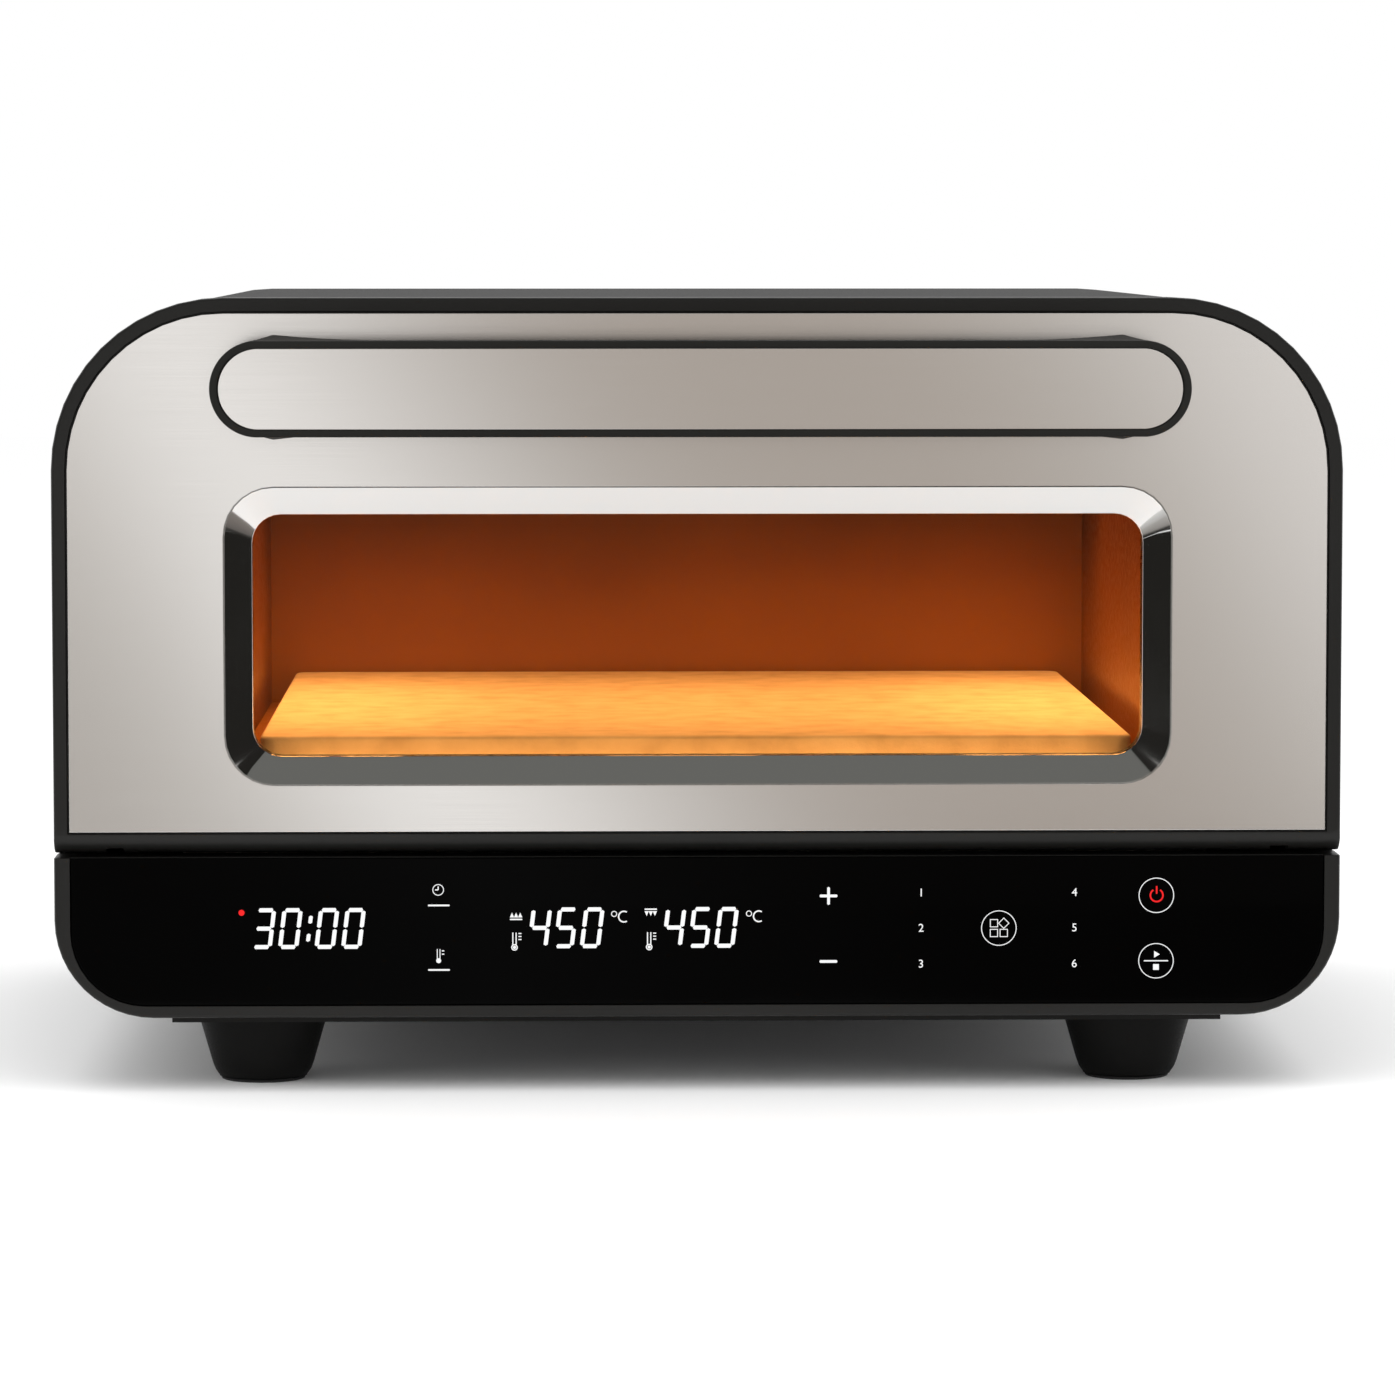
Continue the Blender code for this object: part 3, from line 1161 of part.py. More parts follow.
def make_lamp():
    """Holder behind the right-hand wall, its bulb, and the glass cap that looks into the chamber."""
    place = (LAMP_SEAT, at_depth(LAMP_PLACE_DEPTH), LAMP_HEIGHT)
    outer = LAMP_RADIUS + LAMP_WALL
    floor = LAMP_DEPTH - LAMP_WALL
    holder = [
        (0, LAMP_DEPTH),
        (outer, LAMP_DEPTH),
        (outer, LAMP_FLANGE_SHEET),
        (outer + LAMP_FLANGE, LAMP_FLANGE_SHEET),
        (outer + LAMP_FLANGE, 0),
        (LAMP_RADIUS, 0),
        (LAMP_RADIUS, floor),
        (0, floor),
    ]
    wide = LAMP_RADIUS - GAP
    thin = wide - LENS_WALL
    wall = -GAP - LINER_SHEET
    quarter = [math.radians(angle) for angle in (0, 30, 60, 80)]
    lens = [(0, wall - LENS_DOME + LENS_WALL)]
    lens += [(thin * math.cos(a), wall - (LENS_DOME - LENS_WALL) * math.sin(a)) for a in reversed(quarter)]
    lens += [(thin, LENS_SOCKET), (wide, LENS_SOCKET)]
    lens += [(wide * math.cos(a), wall - LENS_DOME * math.sin(a)) for a in quarter]
    lens += [(0, wall - LENS_DOME)]
    base = floor - GAP
    neck = base - BULB_BASE
    tip = neck - BULB_LENGTH
    bulb = [(0, base), (BULB_BASE_RADIUS, base), (BULB_BASE_RADIUS, neck)]
    bulb += [(BULB_RADIUS, neck - BULB_RADIUS), (BULB_RADIUS, tip + BULB_RADIUS)]
    bulb += [(BULB_RADIUS * math.cos(a), tip + BULB_RADIUS * (1 - math.sin(a))) for a in quarter[1:]]
    bulb += [(0, tip)]
    return [
        finish(turned("lamp_holder", holder, "X", place), CERAMIC),
        finish(turned("lamp_lens", lens, "X", place), CLEAR_GLASS),
        finish(turned("lamp_bulb", bulb, "X", place, steps=16), CLEAR_GLASS),
    ]


def make_door_gasket():
    """Fibre seal on the front frame, round the mouth."""
    loops = [mouth_outline(GASKET_OFFSET + GASKET_WIDTH), mouth_outline(GASKET_OFFSET)]
    near = at_depth(PLUG_BACK + GAP)
    return finish(slab("door_gasket", loops, "XZ", near, near + GASKET_THICKNESS), FIBRE)


# Door and hinge

def make_hinge_bracket(name, side):
    """Plate on the back of the front frame with an ear that reaches forward to the hinge axis."""
    centre = (at_depth(HINGE_DEPTH), HINGE_HEIGHT)
    low = HINGE_HEIGHT - EAR_RADIUS
    high = low + BRACKET_HEIGHT
    plate_front = at_depth(LINER_FRONT)
    plate_back = plate_front + BRACKET_SHEET
    rib_front = plate_front + BRACKET_SHEET / 2
    rib_back = plate_back + BRACKET_GUSSET
    ear = arc(centre, EAR_RADIUS, 90, 270, arc_steps(EAR_RADIUS, 180))
    ear += [(rib_back, low), (rib_back, high), (rib_front, high), (rib_front, HINGE_HEIGHT + EAR_RADIUS)]
    hole = circle(centre, PIN_RADIUS + GAP)
    inner = side * EAR_X - EAR_THICKNESS / 2
    bracket = slab(name, [ear, hole], "YZ", inner, inner + EAR_THICKNESS)
    edges = sorted((side * EAR_X, side * (EAR_X + BRACKET_WIDTH)))
    plate_low = (edges[0], plate_front, low + BRACKET_SHEET)
    plate_high = (edges[1], plate_back, high - BRACKET_SHEET)
    join(bracket, box("bracket_plate", plate_low, plate_high))
    return finish(bracket, BARE_STEEL)


def make_hinge_pin(name, side):
    """Pin through the rim on both sides of the ear."""
    inner = EAR_X - EAR_THICKNESS / 2 - EAR_SIDE_CLEARANCE - PIN_INNER_GRIP
    ends = sorted((side * inner, side * (HALF_WIDTH - PIN_END_SET)))
    pin = rod(name, PIN_RADIUS, "X", (at_depth(HINGE_DEPTH), HINGE_HEIGHT), ends[0], ends[1], 16)
    return finish(pin, POLISHED_STEEL)


def make_door_frame():
    """Black rim, rounded below about the hinge axis, with pockets for the skin and the inner panel."""
    frame = rounded_front(
        "door_frame", lambda inset: door_outline(inset, DOOR_BOTTOM), RIM_EDGE, RIM_DEPTH
    )
    through = [door_outline(RIM_FACE + RIM_LEDGE, RIM_OPENING_BOTTOM)]
    cut(frame, slab("rim_opening", through, "XZ", at_depth(-OVERRUN), at_depth(RIM_DEPTH + OVERRUN)))
    front = [door_outline(RIM_FACE, SKIN_BOTTOM)]
    cut(frame, slab("skin_pocket", front, "XZ", at_depth(-OVERRUN), at_depth(SKIN_BACK + GAP)))
    rear = [door_outline(RIM_FACE, PLUG_BOTTOM - GAP)]
    rear_start = at_depth(PANEL_FLANGE_FRONT - GAP)
    cut(frame, slab("panel_pocket", rear, "XZ", rear_start, at_depth(RIM_DEPTH + OVERRUN)))
    centre = (at_depth(HINGE_DEPTH), HINGE_HEIGHT)
    roll = arc(centre, RIM_DEPTH / 2, 0, -180, arc_steps(RIM_DEPTH / 2, 180))
    below = [(at_depth(-OVERRUN), HINGE_HEIGHT), (at_depth(-OVERRUN), DOOR_BOTTOM - OVERRUN)]
    below += [(at_depth(RIM_DEPTH + OVERRUN), DOOR_BOTTOM - OVERRUN), (at_depth(RIM_DEPTH + OVERRUN), HINGE_HEIGHT)]
    cut(frame, slab("roll", [below + roll], "YZ", -HALF_WIDTH - OVERRUN, HALF_WIDTH + OVERRUN))
    half = EAR_THICKNESS / 2 + EAR_SIDE_CLEARANCE
    turn = EAR_RADIUS + EAR_TURN_CLEARANCE
    for side in (-1, 1):
        low = (side * EAR_X - half, at_depth(HINGE_DEPTH - turn), DOOR_BOTTOM - OVERRUN)
        high = (side * EAR_X + half, at_depth(RIM_DEPTH + OVERRUN), HINGE_HEIGHT + turn)
        ends = sorted((side * (EAR_X - half - PIN_INNER_GRIP - GAP), side * (HALF_WIDTH + OVERRUN)))
        cut(frame, box("ear_notch", low, high))
        cut(frame, rod("pin_bore", PIN_RADIUS + GAP, "X", centre, ends[0], ends[1], 16))
    return finish(frame, BLACK_PLASTIC)


def make_door_skin():
    """Brushed face sheet with the window opening and the handle's screw holes."""
    loops = [door_outline(RIM_FACE + SKIN_SEAM, SKIN_BOTTOM + SKIN_SEAM), window_outline(-GAP)]
    for across in (-POST_X, POST_X):
        loops.append(circle((across, HANDLE_MIDDLE), SCREW_RADIUS + GAP))
    return finish(slab("door_skin", loops, "XZ", at_depth(SKIN_SET), at_depth(SKIN_BACK)), BRUSHED_STEEL)


def make_window_bezel():
    """Polished frame that slopes back from the skin to the glass, with a flange behind the skin."""
    flange_front = SKIN_BACK + GAP
    flange_back = flange_front + BEZEL_FLANGE_SHEET
    bottom = SKIN_SET + BEZEL_DEPTH
    section = [
        (0, SKIN_SET),
        (BEZEL_WIDTH, bottom),
        (BEZEL_WIDTH, bottom + BEZEL_LIP),
        (BEZEL_WIDTH - BEZEL_SEAT, bottom + BEZEL_LIP),
        (-GAP, flange_back),
        (-BEZEL_FLANGE, flange_back),
        (-BEZEL_FLANGE, flange_front),
        (0, flange_front),
    ]
    loops = []
    for inset, distance in section:
        loops.append([(across, at_depth(distance), up) for across, up in window_outline(inset)])
    return finish(loft("window_bezel", loops, closed=True), POLISHED_STEEL)


def make_panes():
    """Outer pane behind the bezel, inner pane in the inner panel, and the spacer between them."""
    pane_back = PANE_FRONT + PANE
    outer = slab("outer_glass", [window_outline(PANE_OUTER_INSET)], "XZ", at_depth(PANE_FRONT), at_depth(pane_back))
    ring = [window_outline(PANE_OUTER_INSET), window_outline(PANE_OUTER_INSET + SPACER_WIDTH)]
    ring_ends = (at_depth(pane_back + GAP), at_depth(INNER_PANE_FRONT - GAP))
    spacer = slab("glass_spacer", ring, "XZ", ring_ends[0], ring_ends[1])
    wide = [window_outline(PANEL_WINDOW_INSET - PANE_INNER_LAP)]
    inner = slab("inner_glass", wide, "XZ", at_depth(INNER_PANE_FRONT), at_depth(INNER_PANE_FRONT + PANE))
    return [finish(outer, CLEAR_GLASS), finish(spacer, BLACK_STEEL), finish(inner, CLEAR_GLASS)]


def make_door_inner_panel():
    """Pressed pan on the back of the rim that plugs the mouth, with an opening for the inner pane."""
    flange = [door_outline(RIM_FACE + GAP, PLUG_BOTTOM + PANEL_SHEET / 2)]
    flange_ends = (at_depth(PANEL_FLANGE_FRONT), at_depth(PANEL_FLANGE_FRONT + PANEL_SHEET))
    panel = slab("door_inner_panel", flange, "XZ", flange_ends[0], flange_ends[1])
    plug = [door_outline(PLUG_INSET, PLUG_BOTTOM)]
    plug_front = at_depth(PANEL_FLANGE_FRONT + PANEL_SHEET / 2)
    join(panel, slab("plug", plug, "XZ", plug_front, at_depth(PLUG_BACK)))
    hollow = [door_outline(PLUG_INSET + PANEL_SHEET, PLUG_BOTTOM + PANEL_SHEET)]
    hollow_front = at_depth(PANEL_FLANGE_FRONT - OVERRUN)
    cut(panel, slab("plug_hollow", hollow, "XZ", hollow_front, at_depth(PLUG_BACK - PANEL_SHEET)))
    opening = [window_outline(PANEL_WINDOW_INSET)]
    cut(panel, slab("panel_window", opening, "XZ", at_depth(RIM_DEPTH), at_depth(PLUG_BACK + OVERRUN)))
    return finish(panel, BARE_STEEL)


def make_post(side):
    """Loft from the handle's bar to a foot on the skin that widens upwards, downwards and inwards."""
    loops = []
    start = HANDLE_BACK - HANDLE_EDGE
    end = SKIN_SET - GAP
    for step in range(POST_STEPS + 1):
        share = step / POST_STEPS
        flare = share ** 2
        inner = side * (POST_X - POST_WIDTH / 2 - POST_FLARE_INNER * flare)
        outer = side * (POST_X + POST_WIDTH / 2 + POST_FLARE_OUTER * flare)
        rise = POST_HEIGHT / 2 + POST_FLARE_HEIGHT * flare
        left, right = sorted((inner, outer))
        radius = POST_RADIUS
        loop = rounded_box(left, right, HANDLE_MIDDLE - rise, HANDLE_MIDDLE + rise, radius, radius)
        depth = at_depth(start + (end - start) * share)
        loops.append([(across, depth, up) for across, up in loop])
    return loft("post", loops, closed=False)


def make_handle():
    """Bar with half-round ends on two flared posts, and the steel inlay in its face."""
    middle = (0, HANDLE_MIDDLE)
    bar = stadium(middle, HANDLE_LENGTH, HANDLE_HEIGHT)
    body = slab("handle_body", [bar], "XZ", at_depth(-HANDLE_REACH), at_depth(HANDLE_BACK))
    round_edges(body, HANDLE_EDGE, 2)
    join(body, make_post(-1), make_post(1))
    length = HANDLE_LENGTH - 2 * HANDLE_RING
    height = HANDLE_HEIGHT - 2 * HANDLE_RING
    inlay_front = at_depth(INLAY_SET - HANDLE_REACH)
    inlay_back = inlay_front + INLAY_SHEET
    pocket = slab("pocket", [stadium(middle, length, height)], "XZ", at_depth(-HANDLE_REACH - OVERRUN), inlay_back + GAP)
    cut(body, pocket)
    for across in (-POST_X, POST_X):
        end = at_depth(-SCREW_LENGTH - GAP)
        cut(body, rod("screw_hole", SCREW_RADIUS + GAP, "Y", (across, HANDLE_MIDDLE), end, at_depth(OVERRUN), 16))
    face = [stadium(middle, length - 2 * GAP, height - 2 * GAP)]
    inlay = slab("handle_inlay", face, "XZ", inlay_front, inlay_back)
    return [finish(body, BLACK_PLASTIC), finish(inlay, BRUSHED_STEEL)]


def make_handle_screw(name, side):
    """Screw from behind the skin into a post."""
    seat = SKIN_BACK + GAP
    profile = [
        (0, SCREW_HEAD),
        (SCREW_HEAD_RADIUS, SCREW_HEAD),
        (SCREW_HEAD_RADIUS, 0),
        (SCREW_RADIUS, 0),
        (SCREW_RADIUS, -seat - SCREW_LENGTH),
        (0, -seat - SCREW_LENGTH),
    ]
    screw = turned(name, profile, "Y", (side * POST_X, at_depth(seat), HANDLE_MIDDLE), steps=16)
    return finish(screw, POLISHED_STEEL)


def carry(name, place, pieces):
    """Parent pieces that move together to an empty on their axis."""
    axis = bpy.data.objects.new(name, None)
    axis.location = place
    PARTS.objects.link(axis)
    for piece in pieces:
        piece.parent = axis
        piece.matrix_parent_inverse = Matrix.Translation(-Vector(place))


make_outer_shell()
make_base_plate()
make_rear_panel()
make_front_frame()
make_feet()
make_control_housing()
make_control_glass()
make_control_boards()
make_power_board()
make_terminal_block()
make_cord_gland()
make_fan_frame()
make_cavity_liner()
make_insulation()
make_pizza_stone()
make_stone_rails()
make_heater("upper_heater", UPPER_HEATER_HEIGHT)
make_heater("lower_heater", LOWER_HEATER_HEIGHT)
make_heater_brackets()
make_sensor("upper_sensor", UPPER_SENSOR_HEIGHT)
make_sensor("lower_sensor", LOWER_SENSOR_HEIGHT)
make_thermal_cutout()
make_lamp()
make_door_gasket()
make_hinge_bracket("hinge_bracket_left", -1)
make_hinge_bracket("hinge_bracket_right", 1)

door = [make_door_frame(), make_door_skin(), make_window_bezel(), make_door_inner_panel()]
door += make_panes()
door += make_handle()
door += [make_handle_screw("handle_screw_left", -1), make_handle_screw("handle_screw_right", 1)]
door += [make_hinge_pin("hinge_pin_left", -1), make_hinge_pin("hinge_pin_right", 1)]
carry("door_axis", (0, at_depth(HINGE_DEPTH), HINGE_HEIGHT), door)
carry("fan_axis", (FAN_X, at_depth(FAN_BACK), FAN_HEIGHT), [make_fan_rotor()])
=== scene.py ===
import math

import bpy
from mathutils import Matrix, Vector


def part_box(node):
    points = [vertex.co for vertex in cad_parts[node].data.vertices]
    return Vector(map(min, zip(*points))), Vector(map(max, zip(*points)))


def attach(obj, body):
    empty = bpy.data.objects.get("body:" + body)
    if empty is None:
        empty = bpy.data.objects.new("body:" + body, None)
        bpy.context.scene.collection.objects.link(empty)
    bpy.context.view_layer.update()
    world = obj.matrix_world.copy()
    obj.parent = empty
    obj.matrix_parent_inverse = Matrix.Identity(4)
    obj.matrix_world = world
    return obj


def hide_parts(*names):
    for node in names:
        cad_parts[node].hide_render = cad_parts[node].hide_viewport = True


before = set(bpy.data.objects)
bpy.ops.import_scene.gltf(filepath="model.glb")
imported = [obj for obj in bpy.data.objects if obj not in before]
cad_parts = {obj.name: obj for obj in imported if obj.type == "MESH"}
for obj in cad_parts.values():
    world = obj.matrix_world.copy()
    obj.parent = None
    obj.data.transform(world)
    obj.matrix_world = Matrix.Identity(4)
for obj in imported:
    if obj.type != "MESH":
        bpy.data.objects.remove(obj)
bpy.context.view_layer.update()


# Base plate: the oven's floor, a steel sheet with turned-down edges and a row of cooling slots.
# It is coated black like the shell, and the boards stand on bosses pressed up out of it.
def new_finish(name, colour, roughness, metallic=0.0, **sockets):
    """A material whose constant values stand on the shader's own sockets."""
    finish = bpy.data.materials.new(name)
    finish.use_nodes = True
    shader = finish.node_tree.nodes["Principled BSDF"]
    shader.inputs["Base Color"].default_value = (*colour, 1)
    shader.inputs["Roughness"].default_value = roughness
    shader.inputs["Metallic"].default_value = metallic
    for socket, value in sockets.items():
        shader.inputs[socket.replace("_", " ")].default_value = value
    return finish


def add_noise(finish, scale, stretch, detail=3.0):
    """Noise in Object coordinates, drawn out along an axis where the surface has a direction."""
    nodes, links = finish.node_tree.nodes, finish.node_tree.links
    place = nodes.new("ShaderNodeTexCoord")
    drawn = nodes.new("ShaderNodeMapping")
    drawn.inputs["Scale"].default_value = stretch
    noise = nodes.new("ShaderNodeTexNoise")
    noise.inputs["Scale"].default_value = scale
    noise.inputs["Detail"].default_value = detail
    links.new(place.outputs["Object"], drawn.inputs["Vector"])
    links.new(drawn.outputs["Vector"], noise.inputs["Vector"])
    return noise.outputs["Fac"]


def add_grain(finish, scale, roughness, bump=0.0, depth=0.0001, stretch=(1, 1, 1)):
    """Fine grain that varies the gloss between two roughnesses and lifts the surface a little."""
    nodes, links = finish.node_tree.nodes, finish.node_tree.links
    shader = nodes["Principled BSDF"]
    grain = add_noise(finish, scale, stretch)
    gloss = nodes.new("ShaderNodeMapRange")
    gloss.inputs["From Min"].default_value = 0.3
    gloss.inputs["From Max"].default_value = 0.7
    gloss.inputs["To Min"].default_value = roughness[0]
    gloss.inputs["To Max"].default_value = roughness[1]
    links.new(grain, gloss.inputs["Value"])
    links.new(gloss.outputs["Result"], shader.inputs["Roughness"])
    if bump:
        relief = nodes.new("ShaderNodeBump")
        relief.inputs["Strength"].default_value = bump
        relief.inputs["Distance"].default_value = depth
        links.new(grain, relief.inputs["Height"])
        links.new(relief.outputs["Normal"], shader.inputs["Normal"])


def new_ramp(nodes, stops):
    """A colour ramp with the given places and tones."""
    ramp = nodes.new("ShaderNodeValToRGB")
    elements = ramp.color_ramp.elements
    while len(elements) < len(stops):
        elements.new(0.5)
    for index, (position, tone) in enumerate(stops):
        elements[index].position = position
        elements[index].color = (*tone, 1)
    return ramp


def add_mottle(finish, scale, tones, stretch=(1, 1, 1), socket="Base Color"):
    """Slow drift of colour between the given tones."""
    nodes, links = finish.node_tree.nodes, finish.node_tree.links
    last = len(tones) - 1
    ramp = new_ramp(nodes, [(0.3 + 0.4 * index / last, tone) for index, tone in enumerate(tones)])
    links.new(add_noise(finish, scale, stretch), ramp.inputs["Fac"])
    links.new(ramp.outputs["Color"], nodes["Principled BSDF"].inputs[socket])


def round_edges(piece, width, segments=2, angle=35):
    """Breaks the sharp edges of a piece with a Bevel that is applied."""
    bpy.context.view_layer.objects.active = piece
    bevel = piece.modifiers.new("edges", "BEVEL")
    bevel.width = width
    bevel.segments = segments
    bevel.limit_method = "ANGLE"
    bevel.angle_limit = math.radians(angle)
    bevel.use_clamp_overlap = False
    bpy.ops.object.modifier_apply(modifier=bevel.name)


def settle(piece, name, body, finish, smooth=35):
    """Puts a finished piece's place into its mesh, and gives it its name, finish, slot and body."""
    if bpy.context.mode != "OBJECT":
        bpy.ops.object.mode_set(mode="OBJECT")
    bpy.ops.object.select_all(action="DESELECT")
    piece.select_set(True)
    bpy.context.view_layer.objects.active = piece
    bpy.ops.object.transform_apply(location=True, rotation=True, scale=True)
    piece.name = name
    piece.data.name = name
    piece.data.materials.clear()
    piece.data.materials.append(finish)
    bpy.ops.object.shade_smooth_by_angle(angle=math.radians(smooth))
    flats = piece.modifiers.new("flats", "WEIGHTED_NORMAL")
    flats.keep_sharp = True
    bpy.ops.object.modifier_apply(modifier=flats.name)
    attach(piece, body)


def dress(node, name, body, finish, edge, segments=2, angle=35, smooth=35, reshape=None):
    """A copy of a solid with its triangles merged and its edges broken, shown in its place."""
    bpy.ops.object.select_all(action="DESELECT")
    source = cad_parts[node]
    source.select_set(True)
    bpy.context.view_layer.objects.active = source
    bpy.ops.object.duplicate()
    piece = bpy.context.active_object
    for key in list(piece.keys()):
        del piece[key]
    piece.parent = None
    bpy.ops.object.mode_set(mode="EDIT")
    bpy.ops.mesh.select_all(action="SELECT")
    bpy.ops.mesh.customdata_custom_splitnormals_clear()
    bpy.ops.mesh.remove_doubles(threshold=0.00001)
    bpy.ops.mesh.dissolve_limited(angle_limit=math.radians(0.5))
    bpy.ops.object.mode_set(mode="OBJECT")
    if reshape:
        reshape(piece)
    if edge:
        round_edges(piece, edge, segments, angle)
    settle(piece, name, body, finish, smooth)
    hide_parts(node)
    return piece


black_coat = new_finish("black_coat", (0.012, 0.0115, 0.011), 0.6, Specular_IOR_Level=0.14)
add_grain(black_coat, 900, (0.52, 0.66), bump=0.12, depth=0.00008)
add_mottle(black_coat, 12, [(0.010, 0.0096, 0.009), (0.014, 0.0135, 0.0125)])
HEM_DROP, HEM_EDGE = 0.0012, 0.0001
floor_sheet = dress("base_plate", "pressed_floor", "chassis", black_coat, 0.0)
hem_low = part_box("base_plate")[0].z
for point in floor_sheet.data.vertices:
    if point.co.z < hem_low + HEM_EDGE:
        point.co.z -= HEM_DROP


# Feet: four tapered mouldings of black plastic, held in the base plate by a snap stud.
# Each is hollow below, with a soft rubber pad let into it.
def pick_faces(piece, wanted):
    """Enters edit mode with only the faces selected that the test wants."""
    bpy.ops.object.mode_set(mode="OBJECT")
    bpy.context.view_layer.objects.active = piece
    bpy.ops.object.mode_set(mode="EDIT")
    bpy.ops.mesh.select_mode(type="FACE")
    bpy.ops.mesh.select_all(action="DESELECT")
    bpy.ops.object.mode_set(mode="OBJECT")
    for face in piece.data.polygons:
        face.select = wanted(face)
    bpy.ops.object.mode_set(mode="EDIT")


def copy_piece(piece, name, offset):
    """A copy of a settled piece with its own mesh, moved by an offset in the mesh."""
    copy = piece.copy()
    copy.data = piece.data.copy()
    copy.name = name
    copy.data.name = name
    copy.data.transform(Matrix.Translation(offset))
    bpy.context.scene.collection.objects.link(copy)
    return copy


moulded_black = new_finish("moulded_black", (0.009, 0.0088, 0.008), 0.4, Specular_IOR_Level=0.25)
add_grain(moulded_black, 1600, (0.34, 0.46), bump=0.10, depth=0.00005)
add_mottle(moulded_black, 9, [(0.0080, 0.0078, 0.0070), (0.0105, 0.0102, 0.0093)])

# The feet's black is darker than the moulded black elsewhere: painted shade for the shadow under the oven.
foot_black_painted_shade = new_finish("foot_black_painted_shade", (0.004, 0.004, 0.0037), 0.5, Specular_IOR_Level=0.1)
add_grain(foot_black_painted_shade, 1300, (0.45, 0.6), bump=0.15, depth=0.00006)
add_mottle(foot_black_painted_shade, 30, [(0.0032, 0.0032, 0.0030), (0.0050, 0.0049, 0.0045)])
foot_low, foot_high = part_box("foot_front_left")
foot_middle = (foot_low + foot_high) / 2
foot_radius = (foot_high.x - foot_low.x) / 2
FOOT_SEAT = 0.0017
foot_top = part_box("base_plate")[0].z + FOOT_SEAT
FOOT_EDGE, PAD_PLAY, PAD_RECESS = 0.0006, 0.0002, 0.0026
FOOT_STEPS = [(-0.0045, 0.0), (-0.0205, -0.0046), (-0.0232, -0.0056), (-0.0250, -0.0068), (-0.0257, -0.0076)]
bpy.ops.object.select_all(action="DESELECT")
bpy.ops.mesh.primitive_circle_add(vertices=72, radius=foot_radius, fill_type="NGON",
                                  location=(foot_middle.x, foot_middle.y, foot_top))
foot = bpy.context.active_object
bpy.ops.object.mode_set(mode="EDIT")
bpy.ops.mesh.select_all(action="SELECT")
last_drop, last_radius = 0.0, foot_radius
for drop, narrowing in FOOT_STEPS:
    radius = foot_radius + narrowing
    bpy.ops.mesh.extrude_region_move(TRANSFORM_OT_translate={"value": (0, 0, drop - last_drop)})
    bpy.ops.transform.resize(value=(radius / last_radius, radius / last_radius, 1))
    last_drop, last_radius = drop, radius
bpy.ops.mesh.inset(thickness=PAD_PLAY)
bpy.ops.mesh.extrude_region_move(TRANSFORM_OT_translate={"value": (0, 0, PAD_RECESS)})
bpy.ops.mesh.select_all(action="SELECT")
bpy.ops.mesh.remove_doubles(threshold=0.00001)
bpy.ops.mesh.normals_make_consistent(inside=False)
bpy.ops.object.mode_set(mode="OBJECT")
round_edges(foot, FOOT_EDGE, 3, 50)
settle(foot, "moulded_foot_front_left", "chassis", foot_black_painted_shade)
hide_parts("foot_front_left")
for place in ("front_right", "rear_left", "rear_right"):
    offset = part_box("foot_" + place)[0] - foot_low
    other = copy_piece(foot, "moulded_foot_" + place, offset)
    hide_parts("foot_" + place)

pad_rubber = new_finish("pad_rubber", (0.02, 0.02, 0.02), 0.8, Specular_IOR_Level=0.25)
add_grain(pad_rubber, 2400, (0.72, 0.9), bump=0.25, depth=0.0001)
PAD_RIM, GROOVE_WIDTH, GROOVE_DEPTH, PAD_EDGE = 0.003, 0.0015, 0.0006, 0.0004
pad_low, pad_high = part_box("foot_pad_front_left")
bpy.ops.object.select_all(action="DESELECT")
bpy.ops.mesh.primitive_cylinder_add(vertices=64, radius=(pad_high.x - pad_low.x) / 2,
                                    depth=pad_high.z - pad_low.z, location=(pad_low + pad_high) / 2)
pad = bpy.context.active_object
pick_faces(pad, lambda face: face.normal.z < -0.9)
bpy.ops.mesh.inset(thickness=PAD_RIM)
bpy.ops.mesh.extrude_region_move(TRANSFORM_OT_translate={"value": (0, 0, GROOVE_DEPTH)})
bpy.ops.mesh.inset(thickness=GROOVE_WIDTH)
bpy.ops.mesh.extrude_region_move(TRANSFORM_OT_translate={"value": (0, 0, -GROOVE_DEPTH)})
bpy.ops.object.mode_set(mode="OBJECT")
round_edges(pad, PAD_EDGE, 2)
settle(pad, "rubber_pad_front_left", "chassis", pad_rubber)
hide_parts("foot_pad_front_left")
for place in ("front_right", "rear_left", "rear_right"):
    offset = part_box("foot_pad_" + place)[0] - pad_low
    other = copy_piece(pad, "rubber_pad_" + place, offset)
    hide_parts("foot_pad_" + place)


# Outer shell: one steel sheet folded over the top, down the sides and under the lower corners.
# It is powder coated black and slides on from behind, up to the door's rim.
rim_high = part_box("door_frame")[1]
DRAWN_RADIUS, SEEN_RADIUS, CORNER_DEPTH = 0.055, 0.0626, 0.016


def ease_corners(piece):
    """Opens a piece's upper corners out from the solids' radius to the rounder sweep in the photograph."""
    for point in piece.data.vertices:
        spoke = Vector((abs(point.co.x) - rim_high.x + DRAWN_RADIUS, point.co.z - rim_high.z + DRAWN_RADIUS))
        depth = DRAWN_RADIUS - spoke.length
        if min(spoke) > -0.00001 and depth < CORNER_DEPTH:
            spoke.length = SEEN_RADIUS - depth
            point.co.x = math.copysign(rim_high.x - SEEN_RADIUS + spoke.x, point.co.x)
            point.co.z = rim_high.z - SEEN_RADIUS + spoke.y


dress("outer_shell", "folded_shell", "chassis", black_coat, 0.0002, reshape=ease_corners)


